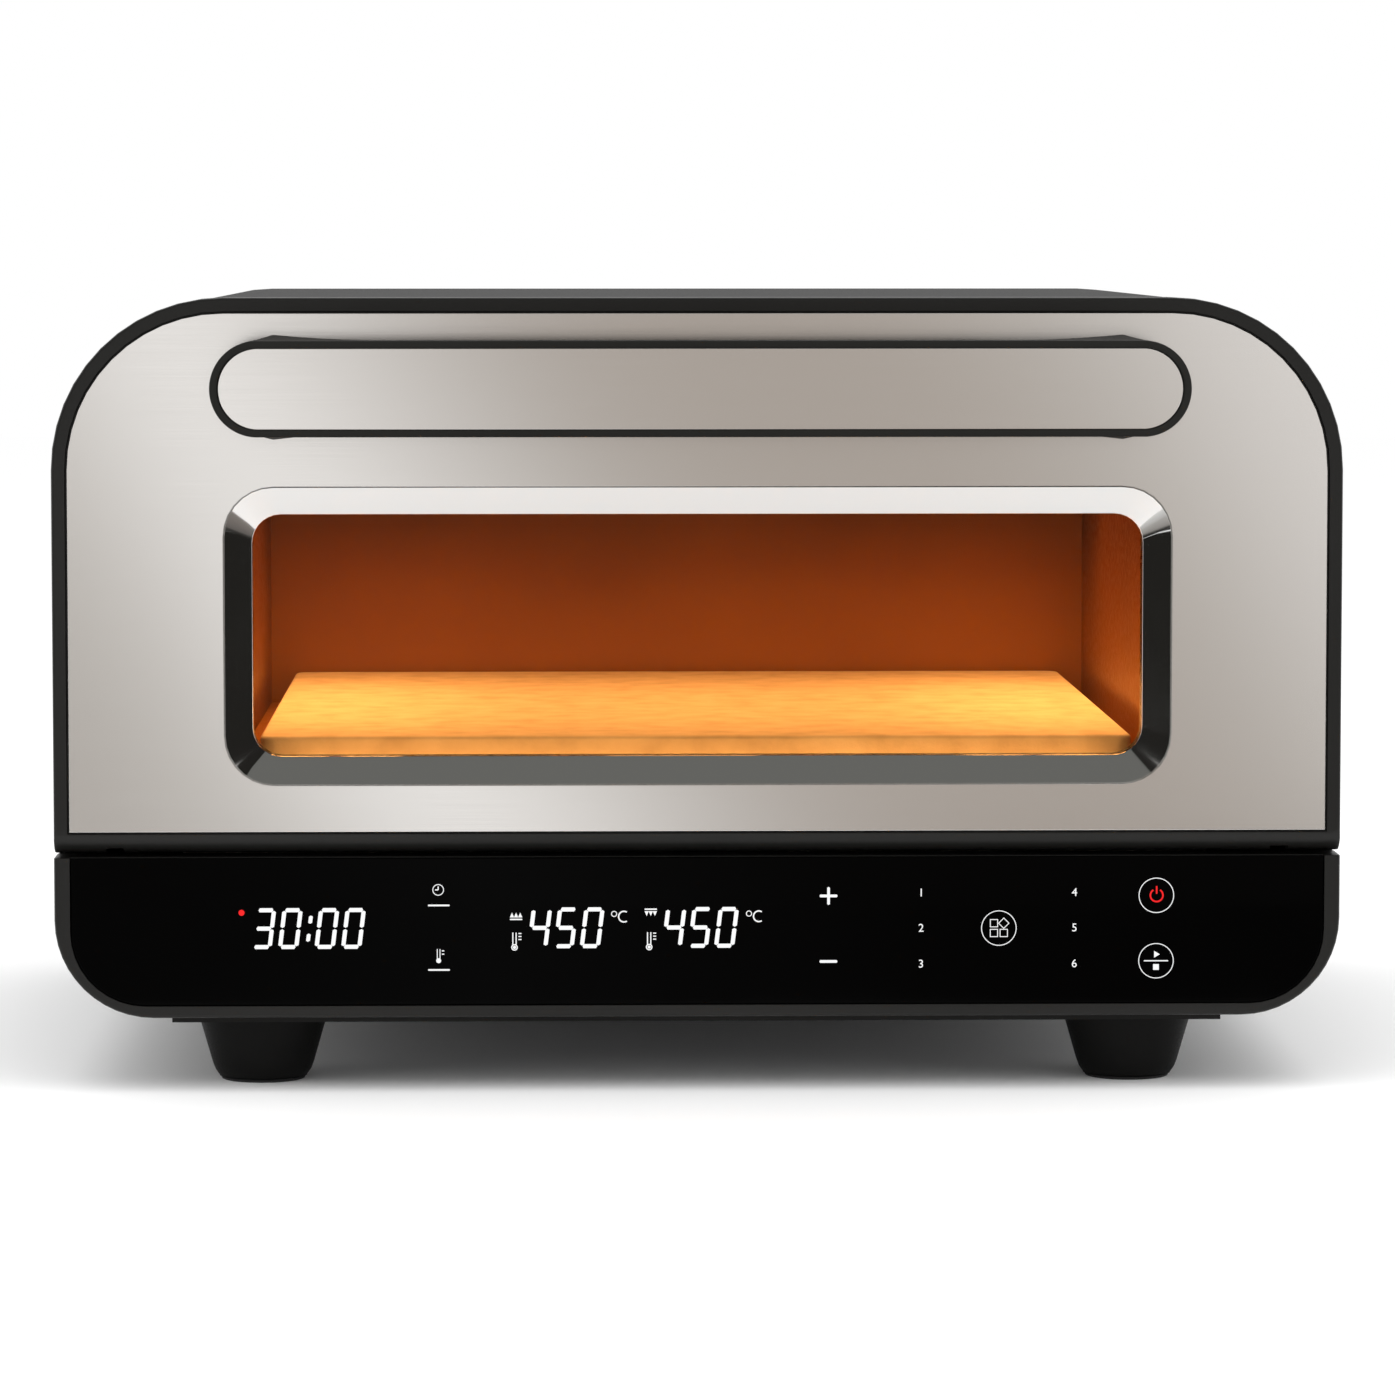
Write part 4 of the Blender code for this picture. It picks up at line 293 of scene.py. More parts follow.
# Back panel: a steel sheet with turned edges, screwed inside the shell's back edge.
# Rows of pressed louvres let the chamber's heat out, and slots let the fan's air out.
dress("rear_panel", "back_sheet", "chassis", black_coat, 0.0, reshape=ease_corners)
panel_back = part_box("rear_panel")[1].y
LOUVRE_LENGTH, LOUVRE_ROWS, LOUVRE_COLUMNS = 0.030, 3, 5
LOUVRE_PITCH_X, LOUVRE_PITCH_Z, LOUVRE_LOWEST = 0.040, 0.012, 0.178
HOOD_RISE, HOOD_HEIGHT = 0.0019, 0.0052
HOOD_OVERLAP, HOOD_DROP, HOOD_SHEET = 0.002, 0.0018, 0.0005
hood_at = Vector((-LOUVRE_PITCH_X * (LOUVRE_COLUMNS - 1) / 2, panel_back, LOUVRE_LOWEST - HOOD_DROP))
bpy.ops.object.select_all(action="DESELECT")
bpy.ops.mesh.primitive_uv_sphere_add(segments=40, ring_count=20, radius=1, location=hood_at)
hood = bpy.context.active_object
hood.scale = (LOUVRE_LENGTH / 2 + HOOD_OVERLAP, HOOD_RISE, HOOD_HEIGHT)
bpy.ops.object.transform_apply(location=False, rotation=False, scale=True)
for cut_normal in ((0, -1, 0), (0, 0, -1)):
    bpy.ops.object.mode_set(mode="EDIT")
    bpy.ops.mesh.select_all(action="SELECT")
    bpy.ops.mesh.bisect(plane_co=hood_at, plane_no=cut_normal, clear_outer=True)
    bpy.ops.object.mode_set(mode="OBJECT")
wall = hood.modifiers.new("sheet", "SOLIDIFY")
wall.thickness = HOOD_SHEET
wall.offset = -1
bpy.ops.object.modifier_apply(modifier=wall.name)
settle(hood, "louvre_hood_1", "chassis", black_coat, smooth=50)
for index in range(1, LOUVRE_ROWS * LOUVRE_COLUMNS):
    offset = Vector((index % LOUVRE_COLUMNS * LOUVRE_PITCH_X, 0, index // LOUVRE_COLUMNS * LOUVRE_PITCH_Z))
    copy_piece(hood, "louvre_hood_%d" % (index + 1), offset)

zinc = new_finish("zinc", (0.58, 0.57, 0.55), 0.35, 1.0)
add_grain(zinc, 700, (0.26, 0.46), bump=0.08, depth=0.00005)
add_mottle(zinc, 160, [(0.50, 0.50, 0.49), (0.64, 0.63, 0.60)])
SCREW_RADIUS, SCREW_HEAD, SCREW_ROUND = 0.0031, 0.0015, 0.0009
SLOT_LENGTH, SLOT_WIDTH, SLOT_DEPTH = 0.0036, 0.0008, 0.0016
bpy.ops.object.select_all(action="DESELECT")
bpy.ops.mesh.primitive_cylinder_add(vertices=40, radius=SCREW_RADIUS, depth=SCREW_HEAD,
                                    location=(0, 0, SCREW_HEAD / 2))
screw = bpy.context.active_object
pick_faces(screw, lambda face: face.normal.z > 0.9)
bpy.ops.mesh.bevel(offset=SCREW_ROUND, segments=4, affect="EDGES")
bpy.ops.object.mode_set(mode="OBJECT")
for across, along in ((SLOT_LENGTH, SLOT_WIDTH), (SLOT_WIDTH, SLOT_LENGTH)):
    bpy.ops.object.select_all(action="DESELECT")
    bpy.ops.mesh.primitive_cube_add(size=1, location=(0, 0, SCREW_HEAD))
    blade = bpy.context.active_object
    blade.scale = (across, along, SLOT_DEPTH)
    bpy.ops.object.transform_apply(location=False, rotation=False, scale=True)
    bpy.context.view_layer.objects.active = screw
    recess = screw.modifiers.new("recess", "BOOLEAN")
    recess.object = blade
    recess.solver = "EXACT"
    bpy.ops.object.modifier_apply(modifier=recess.name)
    bpy.data.objects.remove(blade)


def set_screw(name, spot, facing, spin):
    """A copy of the screw head at a spot, turned to look outwards and driven round by its own amount."""
    head = copy_piece(screw, name, (0, 0, 0))
    outwards = Matrix.Rotation(math.radians(facing), 4, "X")
    driven = Matrix.Rotation(math.radians(spin), 4, "Z")
    head.data.transform(Matrix.Translation(spot) @ outwards @ driven)
    settle(head, head.name, "chassis", zinc, 30)


BACK_SPIN, FLOOR_SPIN, HEAD_SEAT = 37, 53, 0.0019
BACK_SCREWS = [(-0.223, 0.110), (0.223, 0.110), (-0.223, 0.195), (0.223, 0.195), (-0.100, 0.2795),
               (0.100, 0.2795), (-0.170, 0.0395), (0.040, 0.0395), (0.195, 0.0395)]
for index, (across, up) in enumerate(BACK_SCREWS):
    set_screw("back_screw_%d" % (index + 1), (across, panel_back, up), -90, BACK_SPIN * index)
FLOOR_SCREWS = [(-0.183, -0.060), (-0.183, 0.060), (0.183, -0.060), (0.183, 0.060), (0.0, -0.150),
                (0.0, 0.205)]
floor_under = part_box("base_plate")[0].z + HEAD_SEAT
for index, (across, along) in enumerate(FLOOR_SCREWS):
    set_screw("floor_screw_%d" % (index + 1), (across, along, floor_under), 180, FLOOR_SPIN * index)
bpy.data.objects.remove(screw)


# Cord gland and fan: a moulded bush for the mains lead, and a small fan behind its slots.
# The fan clips inside the back panel and blows the electronics' heat out.
dress("cord_gland", "moulded_gland", "chassis", moulded_black, 0.0003)
dress("fan_frame", "moulded_fan_frame", "chassis", moulded_black, 0.0003)
dress("fan_rotor", "moulded_fan_rotor", "fan", moulded_black, 0.0)


# Front frame: a pressed steel frame inside the shell's front edge, enamelled black.
# It carries the chamber's mouth and the hinge brackets, and shows only with the door down.
black_enamel = new_finish("black_enamel", (0.012, 0.012, 0.012), 0.3, Specular_IOR_Level=0.5)
add_grain(black_enamel, 300, (0.22, 0.36), bump=0.06, depth=0.00012)
add_mottle(black_enamel, 40, [(0.010, 0.010, 0.010), (0.020, 0.019, 0.018)])
dress("front_frame", "pressed_front_frame", "chassis", black_enamel, 0.0, reshape=ease_corners)


# Chamber: a box of aluminised steel wrapped in a fibre jacket.
# Heat has browned the steel, and its colour is also painted darker towards the ceiling as painted shade.
def add_heat_tint_and_painted_shade(finish, low, high, tones):
    """Colour that deepens with height, broken up a little: heat tint on steel, with painted shade towards the
    top.
    """
    nodes, links = finish.node_tree.nodes, finish.node_tree.links
    place = nodes.new("ShaderNodeTexCoord")
    split = nodes.new("ShaderNodeSeparateXYZ")
    rise = nodes.new("ShaderNodeMapRange")
    rise.inputs["From Min"].default_value = low
    rise.inputs["From Max"].default_value = high
    rise.inputs["To Min"].default_value = -0.15
    rise.inputs["To Max"].default_value = 0.85
    waver = nodes.new("ShaderNodeMath")
    waver.operation = "MULTIPLY_ADD"
    waver.inputs[1].default_value = 0.3
    last = len(tones) - 1
    ramp = new_ramp(nodes, [(index / last, tone) for index, tone in enumerate(tones)])
    links.new(place.outputs["Object"], split.inputs["Vector"])
    links.new(split.outputs["Z"], rise.inputs["Value"])
    links.new(add_noise(finish, 16, (1, 1, 1)), waver.inputs[0])
    links.new(rise.outputs["Result"], waver.inputs[2])
    links.new(waver.outputs[0], ramp.inputs["Fac"])
    links.new(ramp.outputs["Color"], nodes["Principled BSDF"].inputs["Base Color"])


# The chamber steel's colour darkens with height: partly heat tint, partly painted shade under the ceiling.
baked_steel_painted_shade = new_finish("baked_steel_painted_shade", (0.36, 0.19, 0.06), 0.45, 0.35)
add_grain(baked_steel_painted_shade, 420, (0.38, 0.55), bump=0.10, depth=0.0001)
add_heat_tint_and_painted_shade(baked_steel_painted_shade, 0.13, 0.215, [(0.32, 0.115, 0.004), (0.17, 0.050, 0.0016), (0.040, 0.006, 0.0004)])
dress("cavity_liner", "chamber_box", "chassis", baked_steel_painted_shade, 0.0)
jacket_fibre = new_finish("jacket_fibre", (0.78, 0.75, 0.66), 0.95, Sheen_Weight=0.3)
add_grain(jacket_fibre, 500, (0.9, 1.0), bump=0.9, depth=0.0012, stretch=(1, 1, 3))
add_mottle(jacket_fibre, 60, [(0.70, 0.66, 0.55), (0.84, 0.81, 0.74)])
dress("insulation", "fibre_jacket", "chassis", jacket_fibre, 0.003, 3)

rope_fibre = new_finish("rope_fibre", (0.30, 0.29, 0.27), 0.9, Sheen_Weight=0.2)
add_grain(rope_fibre, 900, (0.85, 0.98), bump=0.9, depth=0.0008)
add_mottle(rope_fibre, 500, [(0.20, 0.19, 0.18), (0.38, 0.37, 0.34)])
dress("door_gasket", "woven_gasket", "chassis", rope_fibre, 0.0014, 4)


# Stone: a flat slab of fired cordierite that lies loose on two folded steel rails.
# It is pale sand colour with darker grains, and its edges are worn round.
fired_stone = new_finish("fired_stone", (0.80, 0.69, 0.53), 0.85, Specular_IOR_Level=0.3)
add_grain(fired_stone, 650, (0.78, 0.95), bump=0.35, depth=0.0005)
add_mottle(fired_stone, 70, [(0.70, 0.58, 0.43), (0.80, 0.69, 0.53), (0.86, 0.76, 0.61)])
dress("pizza_stone", "fired_slab", "chassis", fired_stone, 0.0014, 3)
for side in ("left", "right"):
    dress("stone_rail_" + side, "folded_rail_" + side, "chassis", baked_steel_painted_shade, 0.0002)


# Heating elements: steel tubes bent flat under the ceiling and under the stone, held by strips.
# They are oxidised dark and glow dull orange when hot.
hot_tube = new_finish("hot_tube", (0.10, 0.075, 0.06), 0.6, 0.6, Emission_Strength=0.9)
add_grain(hot_tube, 500, (0.5, 0.7), bump=0.2, depth=0.0001)
add_mottle(hot_tube, 45, [(0.85, 0.09, 0.006), (1.0, 0.17, 0.015)], socket="Emission Color")
for level in ("upper", "lower"):
    dress(level + "_heater", level + "_hot_tube", "chassis", hot_tube, 0.0, smooth=50)
dress("upper_heater_hanger", "hanger_strip", "chassis", baked_steel_painted_shade, 0.0002)
dress("lower_heater_support", "support_strip", "chassis", baked_steel_painted_shade, 0.0002)


# Sensors, cut-out and lamp: fittings through the chamber's walls.
# The probes are stainless, the bodies white ceramic, and the lamp sits behind a domed lens.
plain_stainless = new_finish("plain_stainless", (0.60, 0.58, 0.55), 0.25, 1.0)
add_grain(plain_stainless, 800, (0.18, 0.34), bump=0.05, depth=0.00004, stretch=(1, 1, 6))
white_ceramic = new_finish("white_ceramic", (0.80, 0.78, 0.73), 0.35, Coat_Weight=0.2)
add_grain(white_ceramic, 500, (0.28, 0.46), bump=0.05, depth=0.00006)
add_mottle(white_ceramic, 60, [(0.76, 0.74, 0.68), (0.83, 0.81, 0.77)])
for level in ("upper", "lower"):
    dress(level + "_sensor", level + "_probe", "chassis", plain_stainless, 0.0002)
dress("thermal_cutout", "cutout_disc", "chassis", white_ceramic, 0.0003)
dress("lamp_holder", "lamp_cup", "chassis", white_ceramic, 0.0003)
lamp_glass = new_finish("lamp_glass", (1.0, 0.95, 0.85), 0.12, Transmission_Weight=1.0, IOR=1.46)
add_grain(lamp_glass, 900, (0.06, 0.2), bump=0.2, depth=0.0002)
dress("lamp_lens", "domed_lens", "chassis", lamp_glass, 0.0004, 3)
lit_bulb = new_finish("lit_bulb", (1.0, 0.8, 0.5), 0.2, Emission_Strength=6.0)
add_mottle(lit_bulb, 200, [(1.0, 0.50, 0.12), (1.0, 0.66, 0.26)], socket="Emission Color")
dress("lamp_bulb", "lamp_globe", "chassis", lit_bulb, 0.0)


# Electronics: the supply board on the base plate's bosses, and the boards behind the touch glass.
# They are green laminate, with black and blue moulded components.
def coat_node(node, finish):
    """Gives a solid that stays as it is its finish."""
    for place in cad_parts[node].material_slots:
        place.material = finish


laminate = new_finish("laminate", (0.012, 0.10, 0.045), 0.4, Coat_Weight=0.3)
add_grain(laminate, 900, (0.32, 0.5), bump=0.15, depth=0.0001, stretch=(1, 6, 1))
add_mottle(laminate, 260, [(0.010, 0.085, 0.035), (0.02, 0.15, 0.07)], stretch=(1, 4, 1))
relay_blue = new_finish("relay_blue", (0.03, 0.10, 0.30), 0.4)
add_grain(relay_blue, 900, (0.34, 0.48), bump=0.08, depth=0.00005)
dark_window = new_finish("dark_window", (0.01, 0.01, 0.011), 0.2)
add_grain(dark_window, 900, (0.15, 0.3), bump=0.03, depth=0.00004)
for node in ("power_board", "display_board", "touch_board"):
    coat_node(node, laminate)
for node in ("upper_relay", "lower_relay"):
    dress(node, node + "_case", "chassis", relay_blue, 0.0005)
for node in ("time_display", "temperature_display"):
    coat_node(node, dark_window)
dress("transformer", "transformer_block", "chassis", moulded_black, 0.0008)
dress("terminal_block", "terminal_moulding", "chassis", white_ceramic, 0.0004)


# Control housing and glass: a black moulding under the door, with a gloss black touch glass let into it.
# The glass is printed black behind, so that only the lit figures show through.
dress("control_housing", "moulded_housing", "chassis", moulded_black, 0.0003)
touch_glass = new_finish("touch_glass", (0.0006, 0.0006, 0.0006), 0.06, Specular_IOR_Level=0.03)
add_grain(touch_glass, 30, (0.04, 0.09))
dress("control_glass", "touch_panel", "chassis", touch_glass, 0.0004, 3)


# Lit figures and touch marks: slanted seven-bar digits for time and heat, and thin marks for the keys.
# They are a raised film a tenth of a millimetre thick on the glass's face.
PRINT = 0.00012
print_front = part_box("control_glass")[0].y - PRINT / 2


def draw_out(bar, axis, least, reach):
    """Moves the two ends of a bar apart along its own X or Y."""
    for end in (-1, 1):
        pick_faces(bar, lambda face: False)
        bpy.ops.object.mode_set(mode="OBJECT")
        for point in bar.data.vertices:
            point.select = point.co[axis] * end > least
        bpy.ops.object.mode_set(mode="EDIT")
        bpy.ops.mesh.select_mode(type="VERT")
        move = [0, 0, 0]
        move[axis] = end * reach
        bpy.ops.transform.translate(value=move)
    bpy.ops.object.mode_set(mode="OBJECT")


def lit_bar(length, stroke, across, up, turn=0.0):
    """A six-sided bar, pointed at both ends, standing up unless it is turned."""
    bpy.ops.object.select_all(action="DESELECT")
    radius = stroke / math.sqrt(3)
    bpy.ops.mesh.primitive_cylinder_add(vertices=6, radius=radius, depth=PRINT)
    bar = bpy.context.active_object
    draw_out(bar, 1, 0.1 * radius, length / 2 - radius)
    bar.rotation_euler = (math.radians(90), turn, 0)
    bar.location = (across, print_front, up)
    return bar


def stamp(corners, radius, across, up, turn=0.0, squash=1.0):
    """A small flat figure of several corners."""
    bpy.ops.object.select_all(action="DESELECT")
    bpy.ops.mesh.primitive_cylinder_add(vertices=corners, radius=radius, depth=PRINT)
    figure = bpy.context.active_object
    figure.scale = (1, squash, 1)
    figure.rotation_euler = (math.radians(90), turn, 0)
    figure.location = (across, print_front, up)
    return figure


def loop(radius, stroke, across, up, arc=360, corners=56):
    """A thin flat ring or frame, or the lower part of a ring."""
    bpy.ops.object.select_all(action="DESELECT")
    bpy.ops.mesh.primitive_torus_add(major_radius=radius - stroke / 2, minor_radius=stroke / 2,
                                     major_segments=corners, minor_segments=8)
    ring = bpy.context.active_object
    if arc < 360:
        half = math.radians(360 - arc) / 2
        pick_faces(ring, lambda face: abs(math.atan2(face.center.x, face.center.y)) < half)
        bpy.ops.mesh.delete(type="FACE")
        bpy.ops.object.mode_set(mode="OBJECT")
    ring.scale = (1, 1, PRINT / stroke)
    ring.rotation_euler = (math.radians(90), 0, 0)
    ring.location = (across, print_front, up)
    return ring


def set_figures(parts, name, finish, lean=0.0, pivot=0.0):
    """Joins the parts of a group of figures, leans them over and fixes them to the glass."""
    bpy.ops.object.select_all(action="DESELECT")
    for part in parts:
        part.select_set(True)
    bpy.context.view_layer.objects.active = parts[0]
    bpy.ops.object.join()
    group = bpy.context.active_object
    settle(group, name, "chassis", finish, 30)
    if lean:
        for point in group.data.vertices:
            point.co.x += (point.co.z - pivot) * math.tan(math.radians(lean))


lit_white = new_finish("lit_white", (0.10, 0.10, 0.10), 0.6, Specular_IOR_Level=0.05, Emission_Strength=0.9)
add_mottle(lit_white, 300, [(0.93, 0.95, 0.96), (1.0, 1.0, 1.0)], socket="Emission Color")
lit_red = new_finish("lit_red", (0.10, 0.004, 0.004), 0.6, Specular_IOR_Level=0.05, Emission_Strength=1.0)
add_mottle(lit_red, 300, [(0.80, 0.012, 0.015), (0.90, 0.02, 0.02)], socket="Emission Color")

BARS = {"0": "abcdef", "3": "abcdg", "4": "bcfg", "5": "acdfg"}
DIGIT_WIDTH, DIGIT_HEIGHT, STROKE, LEAN = 0.0059, 0.0135, 0.0015, 7.0
BAR_GAP, DIGIT_PITCH, FIGURES_LOW = 0.0005, 0.0096, 0.0541
LYING = math.radians(90)


def digit(figure, left):
    """The bars of one seven-bar digit, upright, with its left edge at the given place."""
    half = DIGIT_HEIGHT / 2
    middle = left + DIGIT_WIDTH / 2
    levels = {"a": DIGIT_HEIGHT, "g": half, "d": 0.0}
    right = left + DIGIT_WIDTH
    sides = {"f": (left, 1.5), "b": (right, 1.5), "e": (left, 0.5), "c": (right, 0.5)}
    bars = []
    for bar in BARS[figure]:
        if bar in levels:
            bars.append(lit_bar(DIGIT_WIDTH - BAR_GAP, STROKE, middle, FIGURES_LOW + levels[bar], LYING))
        else:
            across, halves = sides[bar]
            bars.append(lit_bar(half - BAR_GAP, STROKE, across, FIGURES_LOW + halves * half))
    return bars


COLON_X = -0.1429
time_bars = []
for figure, left in (("3", -0.1625), ("0", -0.1528), ("0", -0.1395), ("0", -0.1298)):
    time_bars += digit(figure, left)
for up in (0.0575, 0.0641):
    time_bars.append(lit_bar(0.0030, 0.0014, COLON_X, up))
set_figures(time_bars, "time_figures", lit_white, LEAN, FIGURES_LOW)
heat_bars = []
for start in (-0.0619, -0.0128):
    for place, figure in enumerate("450"):
        heat_bars += digit(figure, start + DIGIT_PITCH * place)
set_figures(heat_bars, "heat_figures", lit_white, LEAN, FIGURES_LOW)

# Degree signs after the heats, then the heaters' signs and thermometers before them.
DEGREE_Z, LETTER_STEP, LETTER_Z = 0.0659, 0.0036, 0.0649
marks = []
for across in (-0.0309, 0.0184):
    marks.append(loop(0.0011, 0.0003, across, DEGREE_Z))
    marks.append(loop(0.0022, 0.0005, across + LETTER_STEP, LETTER_Z, 250))
    marks[-1].rotation_euler = (LYING, LYING, 0)
FLAME_STEP, FLAME_RISE = 0.0015, 0.0013
STEM_SHIFT, STEM_HALF, BULB_Z, STEM_Z = 0.0006, 0.0006, 0.0537, 0.0569
TICK_SHIFT, TICK_Z, TICK_PITCH = 0.0014, 0.0566, 0.0011
for across, heat_up, line, turn in ((-0.0667, 1, 0.0640, 0), (-0.0175, -1, 0.0676, math.pi)):
    marks.append(lit_bar(0.0046, 0.0005, across, line, LYING))
    for step in (-1, 0, 1):
        marks.append(stamp(3, 0.0009, across + step * FLAME_STEP, line + heat_up * FLAME_RISE, turn, 1.3))
    marks.append(loop(0.0012, 0.0004, across - STEM_SHIFT, BULB_Z))
    marks.append(stamp(16, 0.0006, across - STEM_SHIFT, BULB_Z))
    for edge in (-1, 1):
        marks.append(lit_bar(0.0046, 0.0004, across - STEM_SHIFT + edge * STEM_HALF, STEM_Z))
    for tick in range(3):
        marks.append(lit_bar(0.0012, 0.0004, across + TICK_SHIFT, TICK_Z + tick * TICK_PITCH, LYING))

# The time key's clock, the heat key's thermometer and a line under each.
CLOCK_X, CLOCK_Z, GAUGE_X, GAUGE_Z = -0.0951, 0.0749, -0.0950, 0.0489
marks.append(loop(0.0021, 0.0003, CLOCK_X, CLOCK_Z))
marks.append(lit_bar(0.0014, 0.0004, CLOCK_X, CLOCK_Z + 0.0006))
marks.append(lit_bar(0.0012, 0.0004, CLOCK_X - 0.0006, CLOCK_Z, LYING))
marks.append(loop(0.0009, 0.0004, GAUGE_X, GAUGE_Z))
marks.append(stamp(16, 0.0005, GAUGE_X, GAUGE_Z))
for edge in (-1, 1):
    marks.append(lit_bar(0.0036, 0.0003, GAUGE_X + edge * 0.0005, GAUGE_Z + 0.0025))
for tick in range(2):
    marks.append(lit_bar(0.0010, 0.0004, GAUGE_X + 0.0016, GAUGE_Z + 0.0024 + tick * 0.0012, LYING))
for up in (0.0692, 0.0455):
    marks.append(lit_bar(0.0080, 0.0006, -0.0949, up, LYING))

# Plus and minus, then the ringed keys: menu, power and start.
SIGN_X, PLUS_Z, MINUS_Z, SIGN_LENGTH, SIGN_STROKE = 0.0475, 0.0723, 0.0482, 0.0066, 0.0010
for up, turn in ((PLUS_Z, LYING), (PLUS_Z, 0.0), (MINUS_Z, LYING)):
    marks.append(lit_bar(SIGN_LENGTH, SIGN_STROKE, SIGN_X, up, turn))
MENU_X, MENU_Z, TILE_STEP = 0.1099, 0.0603, 0.0018
START_X, START_Z, POWER_Z = 0.1676, 0.0481, 0.0722
for across, up in ((MENU_X, MENU_Z), (START_X, POWER_Z), (START_X, START_Z)):
    marks.append(loop(0.0065, 0.0003, across, up))
for step_x, step_z, turn in ((-1, 1, 45), (1, 1, 0), (-1, -1, 45), (1, -1, 45)):
    marks.append(loop(0.0021, 0.0004, MENU_X + step_x * TILE_STEP, MENU_Z + step_z * TILE_STEP, corners=4))
    marks[-1].rotation_euler = (LYING, math.radians(turn), 0)
marks.append(lit_bar(0.0090, 0.0004, START_X, START_Z, LYING))
marks.append(stamp(3, 0.0014, START_X, START_Z + 0.0024, LYING))
marks.append(stamp(4, 0.0015, START_X, START_Z - 0.0023, math.radians(45)))
set_figures(marks, "key_marks", lit_white)

RED_X, DOT_X, DOT_Z = 0.1677, -0.1668, 0.0667
red_marks = [loop(0.0026, 0.0006, RED_X, POWER_Z, 290), lit_bar(0.0030, 0.0006, RED_X, POWER_Z + 0.0020),
             stamp(32, 0.0011, DOT_X, DOT_Z)]
set_figures(red_marks, "red_marks", lit_red)

NUMBER_SIZE = 0.0042
numbers = []
for column, across in enumerate((0.0814, 0.1376)):
    for row, up in enumerate((0.0733, 0.0603, 0.0471)):
        bpy.ops.object.select_all(action="DESELECT")
        bpy.ops.object.text_add(location=(across, print_front, up), rotation=(math.radians(90), 0, 0))
        number = bpy.context.active_object
        number.data.body = str(column * 3 + row + 1)
        number.data.size = NUMBER_SIZE
        number.data.align_x = "CENTER"
        number.data.align_y = "CENTER"
        number.data.extrude = PRINT / 2
        bpy.ops.object.convert(target="MESH")
        numbers.append(bpy.context.active_object)
set_figures(numbers, "programme_numbers", lit_white)


# Hinge: two steel brackets on the front frame carry ground pins.
# The door's lower edge is rolled round the pins, so it turns down through a right angle.
for side in ("left", "right"):
    dress("hinge_bracket_" + side, "hinge_ear_" + side, "chassis", zinc, 0.0003)
    dress("hinge_pin_" + side, "ground_pin_" + side, "door", plain_stainless, 0.0003)


# Door rim: a black moulded frame, rounded along its front edge and rolled along its foot.
# It carries the steel face, the window and the inner panel.
dress("door_frame", "moulded_rim", "door", moulded_black, 0.0003, reshape=ease_corners)


# Door face: a sheet of stainless steel brushed from side to side, let into the rim.
# Its cut edges are broken, so they catch the light.
def brush(finish, roughness):
    """Fine lines from side to side, with the gloss drawn out across them."""
    add_grain(finish, 60, roughness, bump=0.02, depth=0.00002, stretch=(0.3, 60, 60))
    nodes, links = finish.node_tree.nodes, finish.node_tree.links
    lines = nodes.new("ShaderNodeTangent")
    lines.direction_type = "RADIAL"
    lines.axis = "X"
    links.new(lines.outputs["Tangent"], nodes["Principled BSDF"].inputs["Tangent"])


brushed_face = new_finish("brushed_face", (0.84, 0.825, 0.81), 0.17, 1.0, Anisotropic=0.2)
brush(brushed_face, (0.14, 0.20))
dress("door_skin", "brushed_sheet", "door", brushed_face, 0.0002, reshape=ease_corners)


# Window: a polished steel bezel that slopes back from the face, with two panes of toughened glass behind it.
# A black spacer holds the panes apart.
mirror_steel = new_finish("mirror_steel", (0.72, 0.72, 0.71), 0.06, 1.0)
add_grain(mirror_steel, 40, (0.04, 0.09))
dress("window_bezel", "polished_bezel", "door", mirror_steel, 0.00025, 2, 25, 25)
# The panes are tinted amber: partly the glass's own bronze, partly a painted warm glow over the chamber seen
# through them.
amber_pane_painted_glow = new_finish("amber_pane_painted_glow", (1.0, 0.84, 0.62), 0.0, Transmission_Weight=1.0, IOR=1.1)
add_grain(amber_pane_painted_glow, 20, (0.0, 0.015))
coat_node("outer_glass", amber_pane_painted_glow)
coat_node("inner_glass", amber_pane_painted_glow)
coat_node("glass_spacer", black_enamel)


# Inner panel: a pressed steel pan that fills the mouth behind the window.
# It is plain stainless, browned a little by the heat.
pan_steel = new_finish("pan_steel", (0.50, 0.47, 0.43), 0.35, 1.0)
add_grain(pan_steel, 300, (0.28, 0.44), bump=0.08, depth=0.00006, stretch=(0.3, 4, 4))
add_mottle(pan_steel, 16, [(0.46, 0.42, 0.37), (0.56, 0.53, 0.50)])
dress("door_inner_panel", "pressed_pan", "door", pan_steel, 0.0002)


# Handle: a black moulded bar with round ends, with a brushed steel face let into it.
# Behind each end an arched post swells towards the door, where a screw holds it from behind the face.
def round_bar(length, height, thickness, middle):
    """A flat bar with half-round ends, standing on its edge, whose front looks along -Y."""
    bpy.ops.object.select_all(action="DESELECT")
    bpy.ops.mesh.primitive_cylinder_add(vertices=96, radius=height / 2, depth=thickness)
    bar = bpy.context.active_object
    draw_out(bar, 0, 0.0001, (length - height) / 2)
    bar.rotation_euler = (math.radians(90), 0, 0)
    bar.location = middle
    bpy.ops.object.select_all(action="DESELECT")
    bar.select_set(True)
    bpy.ops.object.transform_apply(location=True, rotation=True, scale=True)
    return bar


